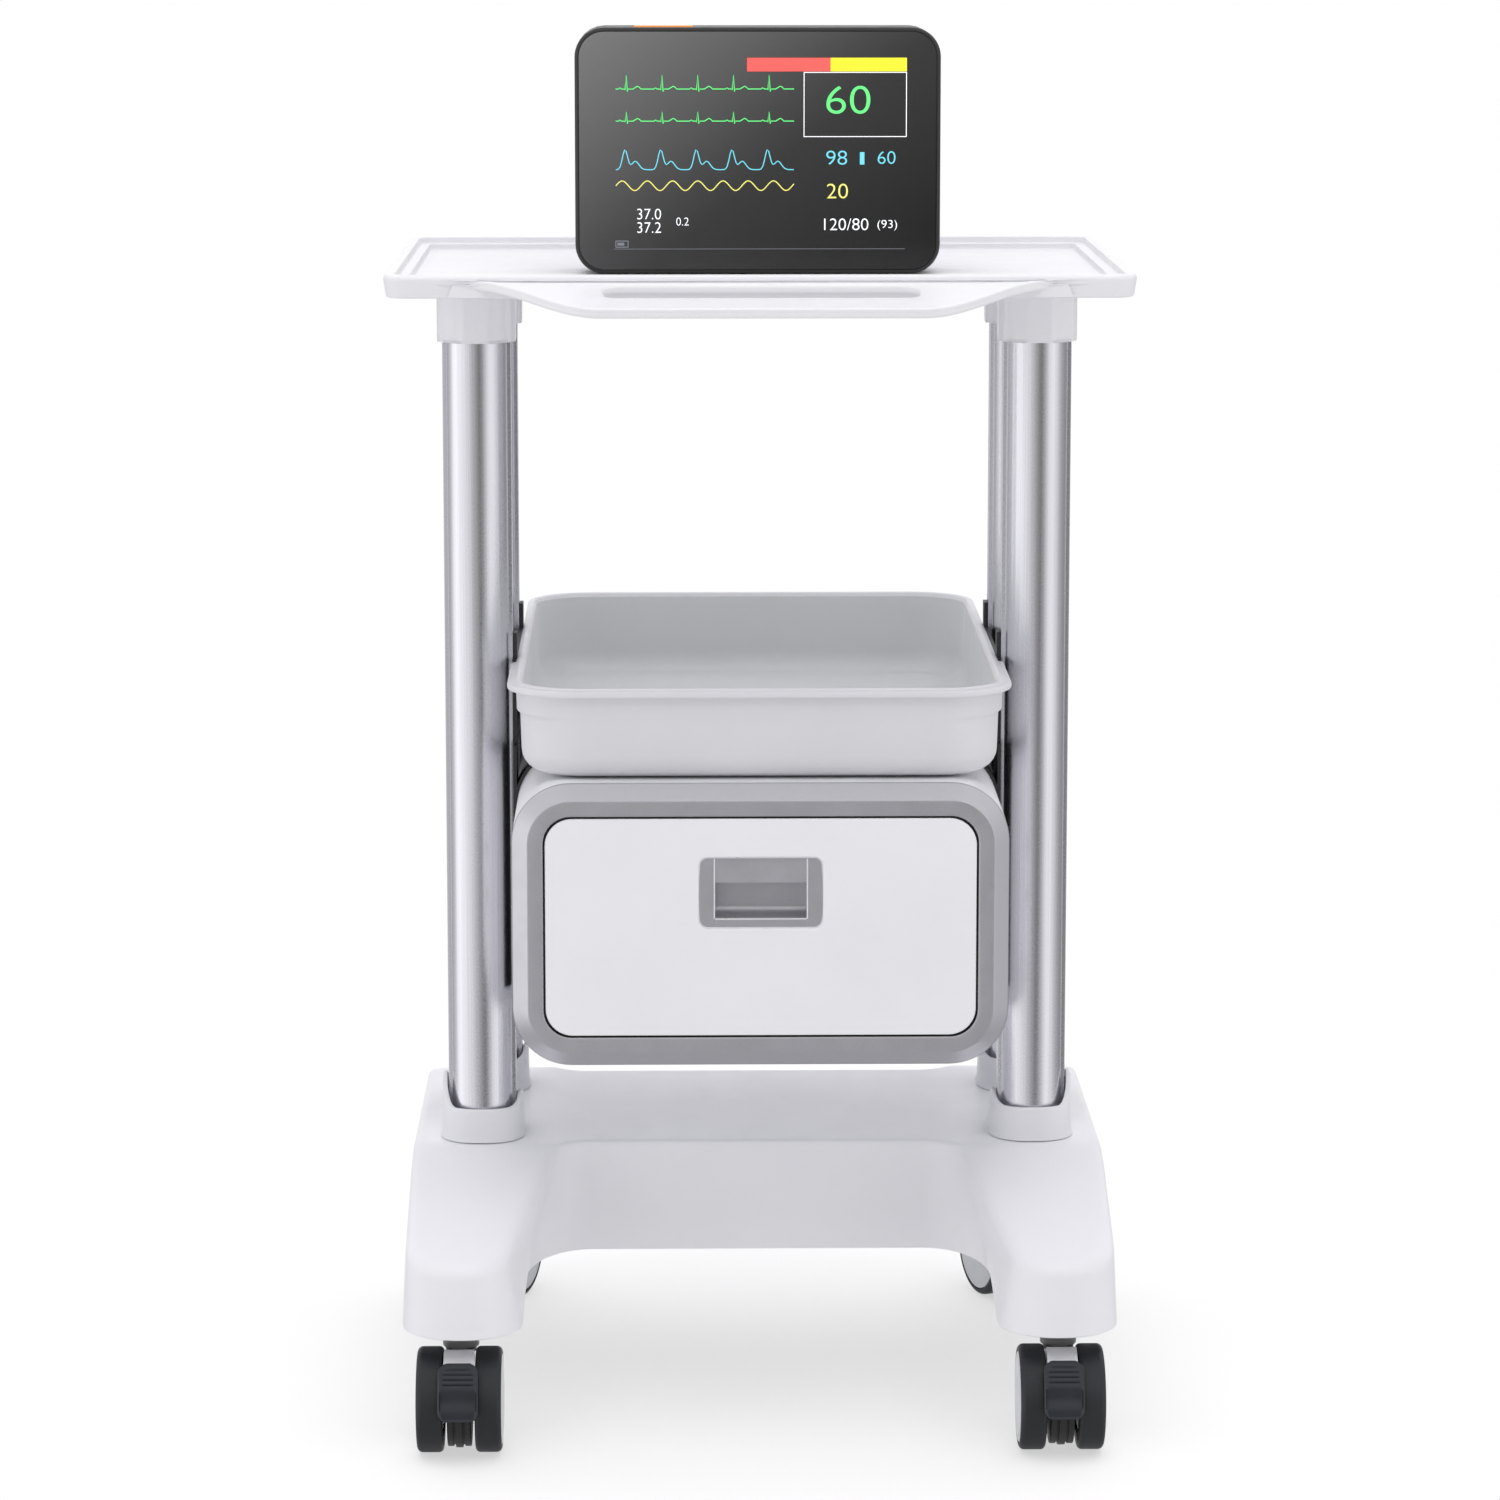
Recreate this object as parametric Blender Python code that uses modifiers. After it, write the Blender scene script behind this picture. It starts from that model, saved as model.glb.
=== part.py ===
"""Crash cart: a white moulded cart on four posts and twin-wheel casters.

Metres, +Z up. X runs across the cart, -Y is its front. The origin is on the floor, under the
middle of the cart's outer box.
"""
import math

import bmesh
import bpy
from mathutils import Matrix, Vector

# ---------------------------------------------------------------- driving dimensions
GAP = 0.0003                      # left between pieces that touch
WALL = 0.003                      # moulded and folded walls

FRONT = -0.2175                   # Y of the top shelf's front edge
SHELF_HALF_WIDTH = 0.275
SHELF_DEPTH = 0.400
SHELF_TOP = 0.884
SHELF_BOTTOM = 0.867
SHELF_DECK = 0.8745
SHELF_RIM = 0.0086
SHELF_CORNER = 0.019

HANDLE_REACH = 0.0747             # in front of the shelf
HANDLE_ROOT_HALF = 0.215
HANDLE_FRONT_HALF = 0.115
HANDLE_THICKNESS = 0.0062
HANDLE_ROOT_TOP = 0.8793
HANDLE_SLOPE = math.tan(math.radians(11.0))
SLOT_HALF_LENGTH = 0.114
SLOT_NEAR = 0.0085                # slot edges, in front of the shelf
SLOT_FAR = 0.042

POST_X = 0.213
POST_HALF_WIDTH = 0.026
POST_HALF_DEPTH = 0.030
POST_CORNER = 0.018
POST_YS = (FRONT + 0.165, FRONT + 0.322)

COLLAR_BOTTOM_WALL = 0.005
COLLAR_BOTTOM_HEIGHT = 0.047      # at its outer side
COLLAR_DIP = 0.026                # height of its rim's lowest point
COLLAR_DIP_RADIUS = 0.045
COLLAR_DIP_SHIFT = 0.007          # of the dip's middle, inwards
COLLAR_TOP_WALL = 0.0029
COLLAR_TOP_BOTTOM = 0.822

BASE_TOP = 0.204
BASE_APRON_BOTTOM = 0.119
LEG_BOTTOM = 0.093
BASE_MID_Y = FRONT + 0.2525
BASE_APRON = 0.1225               # from the base's middle to the front and rear aprons
LEG_INNER = 0.178
LEG_OUTER = 0.269
NOSE_FRONT = 0.2790               # from the base's middle to the noses
NOSE_REAR = 0.1995
NOSE_CORNER = 0.040
LEG_FILLET = 0.050
LEG_SLOPE = math.radians(20.8)
BASE_EDGE = 0.012
BASE_WALL = 0.005
FRAME_LOW = 0.121                 # steel frame inside the base
FRAME_HIGH = 0.137

TRAY_FLOOR = 0.511
TRAY_RIM = 0.579
TRAY_HALF_WIDTH = 0.181
TRAY_DEPTH = 0.510
TRAY_CORNER = 0.048
TRAY_FLOOR_RADIUS = 0.028
TRAY_EAR_HALF = 0.188
TRAY_EAR_END = FRONT + 0.143
TRAY_LIP = 0.007
TRAY_RIM_HALF = 0.1835
BRACKET_SPLIT = 0.5125            # between the tray's brackets and the drawer box's

BOX_HALF_WIDTH = 0.184
BOX_BOTTOM = 0.2972
BOX_TOP = 0.510
BOX_CORNER = 0.044
BOX_BACK = FRONT + 0.450
BEZEL_CHAMFER = 0.012
BEZEL_PROUD = 0.013
OPENING_HALF = 0.1607
OPENING_CORNER = 0.0216
DRAWER_CLEAR = 0.0012
DRAWER_FRONT_DEPTH = 0.024
BOX_MIDDLE_Z = (BOX_BOTTOM + BOX_TOP) / 2
OPENING_HALF_HEIGHT = (BOX_TOP - BOX_BOTTOM) / 2 - (BOX_HALF_WIDTH - OPENING_HALF)
DRAWER_FACE = FRONT - BEZEL_PROUD + 0.0004
DRAWER_BACK = DRAWER_FACE + DRAWER_FRONT_DEPTH
TUB_HALF_WIDTH = 0.140
TUB_DEPTH = 0.380
TUB_LOW = 0.332
TUB_HIGH = 0.462

PULL_HALF_WIDTH = 0.0455
PULL_LOW = 0.403
PULL_HIGH = 0.456
PULL_CORNER = 0.0065
PULL_DEPTH = 0.0225
POCKET_HALF_WIDTH = 0.034
POCKET_LOW = 0.4097
POCKET_HIGH = 0.4368

SLIDE_Z = 0.400
SLIDE_LENGTH = 0.360

MONITOR_HALF_WIDTH = 0.137
MONITOR_HEIGHT = 0.184
MONITOR_CORNER = 0.022
MONITOR_FACE = FRONT + 0.130
MONITOR_DEPTH = 0.060
MONITOR_FRAME = 0.006
SCREEN_HALF_WIDTH = 0.110
SCREEN_LOW = 0.8928
SCREEN_HIGH = 1.037
LAMP_X = (-0.0928, -0.0481)
LAMP_TOP = 1.060
MONITOR_LOW = SHELF_DECK + GAP
MONITOR_HIGH = MONITOR_LOW + MONITOR_HEIGHT
CASE_FRONT = MONITOR_FACE + MONITOR_FRAME + GAP
KEY_HALF = (0.006, 0.003)         # power key, in Y and Z
KEY_Y = MONITOR_FACE + 0.030
KEY_Z = 1.010

CASTER_X = 0.2256
CASTER_FRONT_Y = FRONT + 0.0275
CASTER_REAR_Y = FRONT + 0.402
CASTER_TRAIL = 0.025
REAR_SWIVEL = math.radians(20.0)
WHEEL_RADIUS = 0.0395
WHEEL_WIDTH = 0.020
WHEEL_CENTRE_X = 0.022
AXLE_RADIUS = 0.004
FORK_HALF_WIDTH = 0.009
FORK_HEAD_TOP = 0.0852
FORK_HEAD_RADIUS = 0.0136
FORK_FOOT_RADIUS = 0.0360         # of the body between the wheels, about the axle
STEM_RADIUS = 0.006
PEDAL_HINGE = (-0.0365, 0.0491)   # Y and Z, from the swivel axis at the floor
PEDAL_INNER = 0.043
PEDAL_OUTER = 0.0468
PEDAL_HALF_WIDTH = 0.015
PEDAL_ARC = (128, 185)             # degrees round the axle; 90 is up

# name: (red, green, blue), roughness, metallic
FINISHES = {
    "white_abs": ((0.84, 0.84, 0.86), 0.42, 0.0),
    "white_drawer": ((0.74, 0.75, 0.77), 0.45, 0.0),
    "grey_abs": ((0.62, 0.63, 0.66), 0.45, 0.0),
    "silver_abs": ((0.45, 0.46, 0.50), 0.38, 0.0),
    "aluminium": ((0.60, 0.60, 0.63), 0.32, 1.0),
    "steel": ((0.52, 0.52, 0.54), 0.35, 1.0),
    "black_metal": ((0.020, 0.020, 0.024), 0.50, 0.0),
    "case_plastic": ((0.035, 0.036, 0.040), 0.35, 0.0),
    "screen_glass": ((0.004, 0.004, 0.006), 0.08, 0.0),
    "lamp_amber": ((0.85, 0.16, 0.03), 0.25, 0.0),
    "tyre": ((0.028, 0.031, 0.045), 0.60, 0.0),
    "pedal_plastic": ((0.035, 0.042, 0.060), 0.55, 0.0),
}


# ---------------------------------------------------------------- scene and materials
def clear_scene():
    for item in list(bpy.data.objects):
        bpy.data.objects.remove(item, do_unlink=True)


def make_collection(name):
    collection = bpy.data.collections.new(name)
    bpy.context.scene.collection.children.link(collection)
    return collection


def make_material(name, colour, roughness, metallic):
    material = bpy.data.materials.new(name)
    material.use_nodes = True
    shader = material.node_tree.nodes["Principled BSDF"]
    shader.inputs["Base Color"].default_value = (*colour, 1.0)
    shader.inputs["Roughness"].default_value = roughness
    shader.inputs["Metallic"].default_value = metallic
    material.diffuse_color = (*colour, 1.0)
    return material


clear_scene()
CART = make_collection("crash_cart")
CUTTERS = make_collection("cutters")


# ---------------------------------------------------------------- outlines
def arc(centre, radius, start, end, steps=6):
    """Points on an arc, angles in degrees, both ends included."""
    points = []
    for index in range(steps + 1):
        angle = math.radians(start + (end - start) * index / steps)
        points.append((centre[0] + radius * math.cos(angle), centre[1] + radius * math.sin(angle)))
    return points


def rounded_rectangle(left, right, low, high, radius, steps=6):
    """A counter-clockwise rectangle with round corners."""
    points = arc((right - radius, low + radius), radius, -90, 0, steps)
    points += arc((right - radius, high - radius), radius, 0, 90, steps)
    points += arc((left + radius, high - radius), radius, 90, 180, steps)
    points += arc((left + radius, low + radius), radius, 180, 270, steps)
    return points


def mirrored(points):
    """A right-hand half outline, from low to high, with its mirror image."""
    return points + [(-x, y) for x, y in reversed(points)]


# ---------------------------------------------------------------- solids
def add_object(name, mesh, finish=None):
    item = bpy.data.objects.new(name, mesh)
    if finish is None:
        CUTTERS.objects.link(item)
        item.hide_render = True
        item.display_type = "WIRE"
        return item
    CART.objects.link(item)
    settings = FINISHES[finish]
    mesh.materials.clear()
    mesh.materials.append(make_material(name + "_" + finish, *settings))
    return item


def shade(mesh, degrees=35.0):
    mesh.shade_smooth()
    mesh.set_sharp_from_angle(angle=math.radians(degrees))


AXES = {
    "Z": Matrix.Identity(4),
    "Y": Matrix(((1, 0, 0, 0), (0, 0, -1, 0), (0, 1, 0, 0), (0, 0, 0, 1))),
    "X": Matrix(((0, 0, 1, 0), (1, 0, 0, 0), (0, 1, 0, 0), (0, 0, 0, 1))),
}


def prism(name, loops, low, high, axis="Z", finish=None):
    """A flat outline, with any holes, given thickness along an axis from low to high.

    The outline is in XY for Z, in XZ for Y and in YZ for X.
    """
    curve = bpy.data.curves.new(name, "CURVE")
    curve.dimensions = "2D"
    curve.fill_mode = "BOTH"
    curve.extrude = (high - low) / 2
    for loop in loops:
        spline = curve.splines.new("POLY")
        spline.points.add(len(loop) - 1)
        for point, (across, up) in zip(spline.points, loop):
            point.co = (across, up, 0.0, 1.0)
        spline.use_cyclic_u = True
    source = bpy.data.objects.new(name + "_outline", curve)
    CUTTERS.objects.link(source)
    bpy.context.view_layer.update()
    graph = bpy.context.evaluated_depsgraph_get()
    mesh = bpy.data.meshes.new_from_object(source.evaluated_get(graph))
    bpy.data.objects.remove(source)
    weld(mesh)
    mesh.name = name
    item = add_object(name, mesh, finish)
    item.matrix_world = AXES[axis]
    item.location["XYZ".index(axis)] = (low + high) / 2
    return item


def weld(mesh):
    work = bmesh.new()
    work.from_mesh(mesh)
    bmesh.ops.remove_doubles(work, verts=work.verts, dist=0.00001)
    bmesh.ops.recalc_face_normals(work, faces=work.faces)
    work.to_mesh(mesh)
    work.free()


def block(name, low, high, finish=None):
    """A box between two corners."""
    size = [b - a for a, b in zip(low, high)]
    middle = [(a + b) / 2 for a, b in zip(low, high)]
    mesh = bpy.data.meshes.new(name)
    work = bmesh.new()
    bmesh.ops.create_cube(work, size=1.0, matrix=Matrix.Diagonal((*size, 1.0)))
    work.to_mesh(mesh)
    work.free()
    item = add_object(name, mesh, finish)
    item.location = middle
    return item


def rod(name, radius, start, end, axis="Z", centre=(0.0, 0.0), segments=16, finish=None):
    """A cylinder along an axis; centre is its place in the other two."""
    mesh = bpy.data.meshes.new(name)
    work = bmesh.new()
    bmesh.ops.create_cone(work, cap_ends=True, segments=segments, radius1=radius, radius2=radius,
                          depth=end - start, matrix=AXES[axis])
    work.to_mesh(mesh)
    work.free()
    item = add_object(name, mesh, finish)
    places = list(centre)
    places.insert("XYZ".index(axis), (start + end) / 2)
    item.location = places
    return item


def turned(name, profile, segments=24, closed=False, finish=None):
    """A profile of (radius, height) points turned about Z."""
    mesh = bpy.data.meshes.new(name)
    edges = [(index, index + 1) for index in range(len(profile) - 1)]
    if closed:
        edges.append((len(profile) - 1, 0))
    mesh.from_pydata([(radius, 0.0, height) for radius, height in profile], edges, [])
    item = add_object(name, mesh, finish)
    screw = item.modifiers.new("Screw", "SCREW")
    screw.axis = "Z"
    screw.steps = segments
    screw.render_steps = segments
    screw.use_merge_vertices = True
    screw.merge_threshold = 0.00001
    return item


def combine(target, other, operation):
    modifier = target.modifiers.new(operation.title(), "BOOLEAN")
    modifier.operation = operation
    modifier.solver = "EXACT"
    modifier.object = other
    return target


def cut(target, *cutters):
    for cutter in cutters:
        combine(target, cutter, "DIFFERENCE")
    return target


def join(target, *others):
    for other in others:
        combine(target, other, "UNION")
    return target


def round_edges(target, width, segments=2, degrees=40.0):
    bevel = target.modifiers.new("Bevel", "BEVEL")
    bevel.width = width
    bevel.segments = segments
    bevel.limit_method = "ANGLE"
    bevel.angle_limit = math.radians(degrees)
    bevel.use_clamp_overlap = True
    return target


def baked_mesh(source, degrees=35.0):
    """The source's final mesh in world coordinates; the source and its cutters are removed."""
    bpy.context.view_layer.update()
    graph = bpy.context.evaluated_depsgraph_get()
    mesh = bpy.data.meshes.new_from_object(source.evaluated_get(graph))
    mesh.transform(source.matrix_world)
    tools = [modifier.object for modifier in source.modifiers if modifier.type == "BOOLEAN"]
    for item in [source, *tools]:
        bpy.data.objects.remove(item, do_unlink=True)
    shade(mesh, degrees)
    return mesh


def settle(source, name, finish, degrees=35.0):
    """Turn a worked solid into the finished node."""
    mesh = baked_mesh(source, degrees)
    mesh.name = name
    return add_object(name, mesh, finish)


def mirror_copy(item, name, finish):
    """The same piece on the cart's other side."""
    mesh = item.data.copy()
    mesh.transform(Matrix.Diagonal((-1.0, 1.0, 1.0, 1.0)))
    mesh.flip_normals()
    shade(mesh)
    twin = add_object(name, mesh, finish)
    twin.location = (-item.location.x, item.location.y, item.location.z)
    return twin


# ---------------------------------------------------------------- base
def base_quadrant(apron, nose, inset):
    """Right half of one end of the H plan, from the middle of the apron to the outer side."""
    inner = LEG_INNER + inset
    outer = LEG_OUTER - inset
    fillet = LEG_FILLET + inset
    corner = NOSE_CORNER - inset
    wall = apron - inset
    end = nose - inset
    points = [(0.0, wall)]
    points += arc((inner - fillet, wall + fillet), fillet, -90, 0, 6)
    points += arc((inner + corner, end - corner), corner, 180, 90, 5)
    points += arc((outer - corner, end - corner), corner, 90, 0, 5)
    return points


def base_outline(inset):
    rear = base_quadrant(BASE_APRON, NOSE_REAR, inset)
    front = base_quadrant(BASE_APRON, NOSE_FRONT, inset)
    right = [(x, BASE_MID_Y - y) for x, y in front]
    right += [(x, BASE_MID_Y + y) for x, y in reversed(rear)]
    middle_free = [point for point in right if point[0] > 1e-6]
    return mirrored(middle_free)


def leg_wedge(name, direction, drop):
    """What lies above a pair of sloping leg tops; direction -1 is the front."""
    start = BASE_MID_Y + direction * BASE_APRON
    wedge = block(name, (-0.4, 0.0, 0.0), (0.4, 0.4, 0.2))
    wedge.data.transform(Matrix.Translation(wedge.location))
    wedge.location = (0.0, start, BASE_TOP - drop)
    wedge.rotation_euler = (-LEG_SLOPE, 0.0, math.pi if direction < 0 else 0.0)
    return wedge


def base_body(name, inset, drop, low):
    body = prism(name, [base_outline(inset)], low, BASE_TOP - drop)
    front = leg_wedge(name + "_front_wedge", -1, drop)
    rear = leg_wedge(name + "_rear_wedge", 1, drop)
    return cut(body, front, rear)


def apron_arch():
    """The gap under the aprons, between the legs' inner walls."""
    radius = 0.022
    low = LEG_BOTTOM - 0.02
    wide = LEG_INNER
    right = [(wide, low)] + arc((wide - radius, BASE_APRON_BOTTOM - radius), radius, 0, 90, 4)
    return prism("apron_arch", [mirrored(right)], FRONT - 0.1, FRONT + 0.6, axis="Y")


def caster_places():
    places = []
    for y in (CASTER_FRONT_Y, CASTER_REAR_Y):
        for x in (-CASTER_X, CASTER_X):
            places.append((x, y))
    return places


def make_base_shell():
    outer = base_body("base_outer", 0.0, 0.0, LEG_BOTTOM)
    cut(outer, apron_arch())
    round_edges(outer, BASE_EDGE, 3, 50.0)
    shell = add_object("base_work", baked_mesh(outer))
    hollow = base_body("base_hollow", BASE_WALL, BASE_WALL, LEG_BOTTOM - 0.01)
    for index, (x, y) in enumerate(caster_places()):
        boss = rod("boss_%d" % index, 0.020, LEG_BOTTOM - 0.02, FRAME_LOW - GAP, centre=(x, y),
                   segments=20)
        rib = block("rib_%d" % index, (x - 0.06, y - 0.003, LEG_BOTTOM - 0.02),
                    (x + 0.06, y + 0.003, FRAME_LOW - GAP))
        cut(hollow, boss, rib)
    core = add_object("hollow_core", baked_mesh(hollow))
    cut(shell, core)
    for index, (x, y) in enumerate(caster_places()):
        cut(shell, rod("stem_hole_%d" % index, STEM_RADIUS + GAP, 0.05, 0.16, centre=(x, y)))
    return settle(shell, "base_shell", "white_abs", 40.0)


def make_base_frame():
    """A welded steel frame inside the base: two side rails and two cross rails."""
    rails = []
    for side in (-1, 1):
        x = side * CASTER_X
        rails.append(block("rail", (x - 0.018, FRONT + 0.008, FRAME_LOW),
                           (x + 0.018, FRONT + 0.424, FRAME_HIGH)))
    crossings = []
    for y in POST_YS:
        crossings.append(block("cross_rail", (-CASTER_X, y - 0.016, FRAME_LOW + 0.002),
                               (CASTER_X, y + 0.016, FRAME_HIGH - 0.001)))
    frame = rails[0]
    join(frame, rails[1], *crossings)
    for x, y in caster_places():
        cut(frame, rod("rail_hole", STEM_RADIUS + GAP, 0.1, 0.16, centre=(x, y)))
    return settle(frame, "base_frame", "steel")


# ---------------------------------------------------------------- posts and collars
def post_outline(side, grow=0.0):
    """Round-cornered extrusion with a T-slot in the face that looks inwards."""
    x_low = POST_X - POST_HALF_WIDTH - grow
    x_high = POST_X + POST_HALF_WIDTH + grow
    depth = POST_HALF_DEPTH + grow
    points = rounded_rectangle(x_low, x_high, -depth, depth, POST_CORNER + grow, 5)
    if grow == 0.0:
        points += [(x_low, -0.004), (x_low + 0.003, -0.004), (x_low + 0.003, -0.007),
                   (x_low + 0.006, -0.007), (x_low + 0.006, 0.007), (x_low + 0.003, 0.007),
                   (x_low + 0.003, 0.004), (x_low, 0.004)]
        points = slot_first(points)
    return [(side * x, y) for x, y in points]


def slot_first(points):
    """Put the T-slot's points where the outline passes its inner face."""
    slot = points[-8:]
    ring = points[:-8]
    rear_left = 3 * 6
    return ring[:rear_left] + list(reversed(slot)) + ring[rear_left:]


def place_names():
    """Side, row and name ending of each corner."""
    corners = []
    for row, row_name in ((0, "front"), (1, "rear")):
        for side, side_name in ((-1, "left"), (1, "right")):
            corners.append((side, row, row_name + "_" + side_name))
    return corners


def make_post(side, row, ending):
    outline = post_outline(side)
    bore = rounded_rectangle(POST_X - 0.0165, POST_X + 0.0205, -0.0245, 0.0245, 0.013, 3)
    hole = [(side * x, y) for x, y in bore]
    post = prism("post_work", [outline, hole], BASE_TOP + GAP, SHELF_BOTTOM - GAP)
    post.location.y = POST_YS[row]
    settle(post, "post_" + ending, "aluminium")


def make_collar(side, row, ending, wall, low, high, name, dipped):
    outer = [(side * x, y) for x, y in
             rounded_rectangle(POST_X - POST_HALF_WIDTH - wall, POST_X + POST_HALF_WIDTH + wall,
                               -POST_HALF_DEPTH - wall, POST_HALF_DEPTH + wall,
                               POST_CORNER + wall, 5)]
    inner = [(side * x, y) for x, y in
             rounded_rectangle(POST_X - POST_HALF_WIDTH - GAP, POST_X + POST_HALF_WIDTH + GAP,
                               -POST_HALF_DEPTH - GAP, POST_HALF_DEPTH + GAP,
                               POST_CORNER + GAP, 5)]
    collar = prism("collar_work", [outer, inner], low, high)
    collar.location.y = POST_YS[row]
    if dipped:
        scoop = rod("scoop", COLLAR_DIP_RADIUS, -0.3, 0.3, axis="Y", segments=32,
                    centre=(side * (POST_X - COLLAR_DIP_SHIFT), low + COLLAR_DIP + COLLAR_DIP_RADIUS))
        cut(collar, scoop)
    settle(collar, name + "_" + ending, "white_abs")


def make_posts():
    for side, row, ending in place_names():
        make_post(side, row, ending)
        make_collar(side, row, ending, COLLAR_BOTTOM_WALL, BASE_TOP + GAP,
                    BASE_TOP + COLLAR_BOTTOM_HEIGHT, "post_collar_bottom", True)
        make_collar(side, row, ending, COLLAR_TOP_WALL, COLLAR_TOP_BOTTOM,
                    SHELF_BOTTOM - GAP, "post_collar_top", False)


# ---------------------------------------------------------------- top shelf and handle
def make_top_shelf():
    def ring(inset, radius):
        return rounded_rectangle(-SHELF_HALF_WIDTH + inset, SHELF_HALF_WIDTH - inset,
                                 FRONT + inset, FRONT + SHELF_DEPTH - inset, radius, 6)
    shelf = prism("shelf_work", [ring(0.0, SHELF_CORNER)], SHELF_BOTTOM, SHELF_TOP)
    round_edges(shelf, 0.0035, 2)
    body = add_object("shelf_body", baked_mesh(shelf))
    step = 0.0046
    upper = prism("shelf_recess", [ring(SHELF_RIM, SHELF_CORNER - SHELF_RIM)],
                  SHELF_TOP - step, SHELF_TOP + 0.01)
    lower = prism("shelf_deck", [ring(SHELF_RIM + 0.007, 0.006)], SHELF_DECK, SHELF_TOP + 0.01)
    cut(body, upper, lower)
    settle(body, "top_shelf", "white_abs")


def handle_outline():
    """Plan of the handle: an S-curve on each side runs out to a straight front edge."""
    steps = 12
    root = FRONT - GAP
    right = [(HANDLE_ROOT_HALF, root)]
    for index in range(1, steps + 1):
        share = index / steps
        x = HANDLE_ROOT_HALF + (HANDLE_FRONT_HALF - HANDLE_ROOT_HALF) * share
        ease = (1 - math.cos(math.pi * share)) / 2
        right.append((x, root - HANDLE_REACH * ease))
    return [(-x, y) for x, y in right] + list(reversed(right))


def slot_outline():
    radius = (SLOT_FAR - SLOT_NEAR) / 2
    middle = FRONT - (SLOT_NEAR + SLOT_FAR) / 2
    reach = SLOT_HALF_LENGTH - radius
    points = arc((reach, middle), radius, -90, 90, 6)
    return points + arc((-reach, middle), radius, 90, 270, 6)


def make_shelf_handle():
    """A flat moulding that slopes down towards its front edge."""
    low = HANDLE_ROOT_TOP - HANDLE_THICKNESS
    plate = prism("handle_work", [handle_outline(), slot_outline()], low, HANDLE_ROOT_TOP)
    round_edges(plate, 0.0018, 2)
    handle = settle(plate, "shelf_handle", "white_abs")
    for vertex in handle.data.vertices:
        vertex.co.z += HANDLE_SLOPE * (vertex.co.y - FRONT)


# ---------------------------------------------------------------- tray
def tray_tub():
    """An open tub: a block whose upright and floor edges are rounded, its top left open."""
    tub = block("tray_tub", (-TRAY_HALF_WIDTH, FRONT + 0.006, TRAY_FLOOR),
                (TRAY_HALF_WIDTH, FRONT + TRAY_DEPTH - 0.0025, TRAY_RIM - 0.002))
    work = bmesh.new()
    work.from_mesh(tub.data)
    top = max(vertex.co.z for vertex in work.verts)
    lids = [face for face in work.faces if face.normal.z > 0.9]
    bmesh.ops.delete(work, geom=lids, context="FACES_ONLY")
    upright = [edge for edge in work.edges
               if abs(edge.verts[0].co.z - edge.verts[1].co.z) > 0.01]
    bmesh.ops.bevel(work, geom=upright, offset=TRAY_CORNER, segments=6, profile=0.5,
                    affect="EDGES")
    floor = [edge for edge in work.edges if max(v.co.z for v in edge.verts) < -top + 0.0001]
    bmesh.ops.bevel(work, geom=floor, offset=TRAY_FLOOR_RADIUS, segments=4, profile=0.5,
                    affect="EDGES")
    work.to_mesh(tub.data)
    work.free()
    thick = tub.modifiers.new("Solidify", "SOLIDIFY")
    thick.thickness = WALL
    thick.offset = -1.0
    return tub


def tray_rim_outline():
    front = FRONT
    back = FRONT + TRAY_DEPTH
    right = arc((TRAY_EAR_HALF - TRAY_CORNER, front + TRAY_CORNER), TRAY_CORNER, -90, 0, 6)
    right += [(TRAY_EAR_HALF, TRAY_EAR_END), (TRAY_RIM_HALF, TRAY_EAR_END + 0.004)]
    right += arc((TRAY_RIM_HALF - TRAY_CORNER, back - TRAY_CORNER), TRAY_CORNER, 0, 90, 6)
    return mirrored(right)


def make_tray():
    rim = prism("tray_rim", [tray_rim_outline()], TRAY_RIM - TRAY_LIP, TRAY_RIM)
    inside = TRAY_HALF_WIDTH - WALL + 0.001
    mouth = rounded_rectangle(-inside, inside, FRONT + 0.006 + WALL - 0.001,
                              FRONT + TRAY_DEPTH - 0.0025 - WALL + 0.001,
                              TRAY_CORNER - WALL + 0.001, 6)
    opening = prism("tray_mouth", [mouth], TRAY_RIM - 0.02, TRAY_RIM + 0.01)
    cut(rim, opening)
    round_edges(rim, 0.0012, 1)
    lip = add_object("tray_lip", baked_mesh(rim))
    tub = add_object("tray_shell", baked_mesh(tray_tub()))
    join(tub, lip)
    settle(tub, "tray", "grey_abs")


def make_tray_brackets():
    """Angle brackets on the posts' inner faces; the tray's rim hangs on their ledges."""
    face = POST_X - POST_HALF_WIDTH - GAP
    wall = TRAY_RIM_HALF + GAP
    start = POST_YS[0] - 0.012
    end = POST_YS[1] + 0.012
    ledge_top = TRAY_RIM - TRAY_LIP - GAP
    plate = block("bracket_work", (wall, start, BRACKET_SPLIT + GAP), (face, end, TRAY_RIM - 0.001))
    ledge = block("ledge", (TRAY_HALF_WIDTH + GAP, start + 0.01, ledge_top - 0.0025),
                  (wall + 0.001, end - 0.01, ledge_top))
    ears = [block("ear", (wall, y - 0.008, 0.570), (face, y + 0.008, 0.598)) for y in POST_YS]
    join(plate, ledge, *ears)
    right = settle(plate, "tray_bracket_right", "black_metal")
    mirror_copy(right, "tray_bracket_left", "black_metal")


# ---------------------------------------------------------------- drawer box
def box_section(inset):
    return rounded_rectangle(-BOX_HALF_WIDTH + inset, BOX_HALF_WIDTH - inset,
                             BOX_BOTTOM + inset, BOX_TOP - inset, BOX_CORNER - inset, 6)


def opening_section(inset):
    return rounded_rectangle(-OPENING_HALF + inset, OPENING_HALF - inset,
                             BOX_MIDDLE_Z - OPENING_HALF_HEIGHT + inset,
                             BOX_MIDDLE_Z + OPENING_HALF_HEIGHT - inset,
                             OPENING_CORNER - inset, 5)


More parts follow.
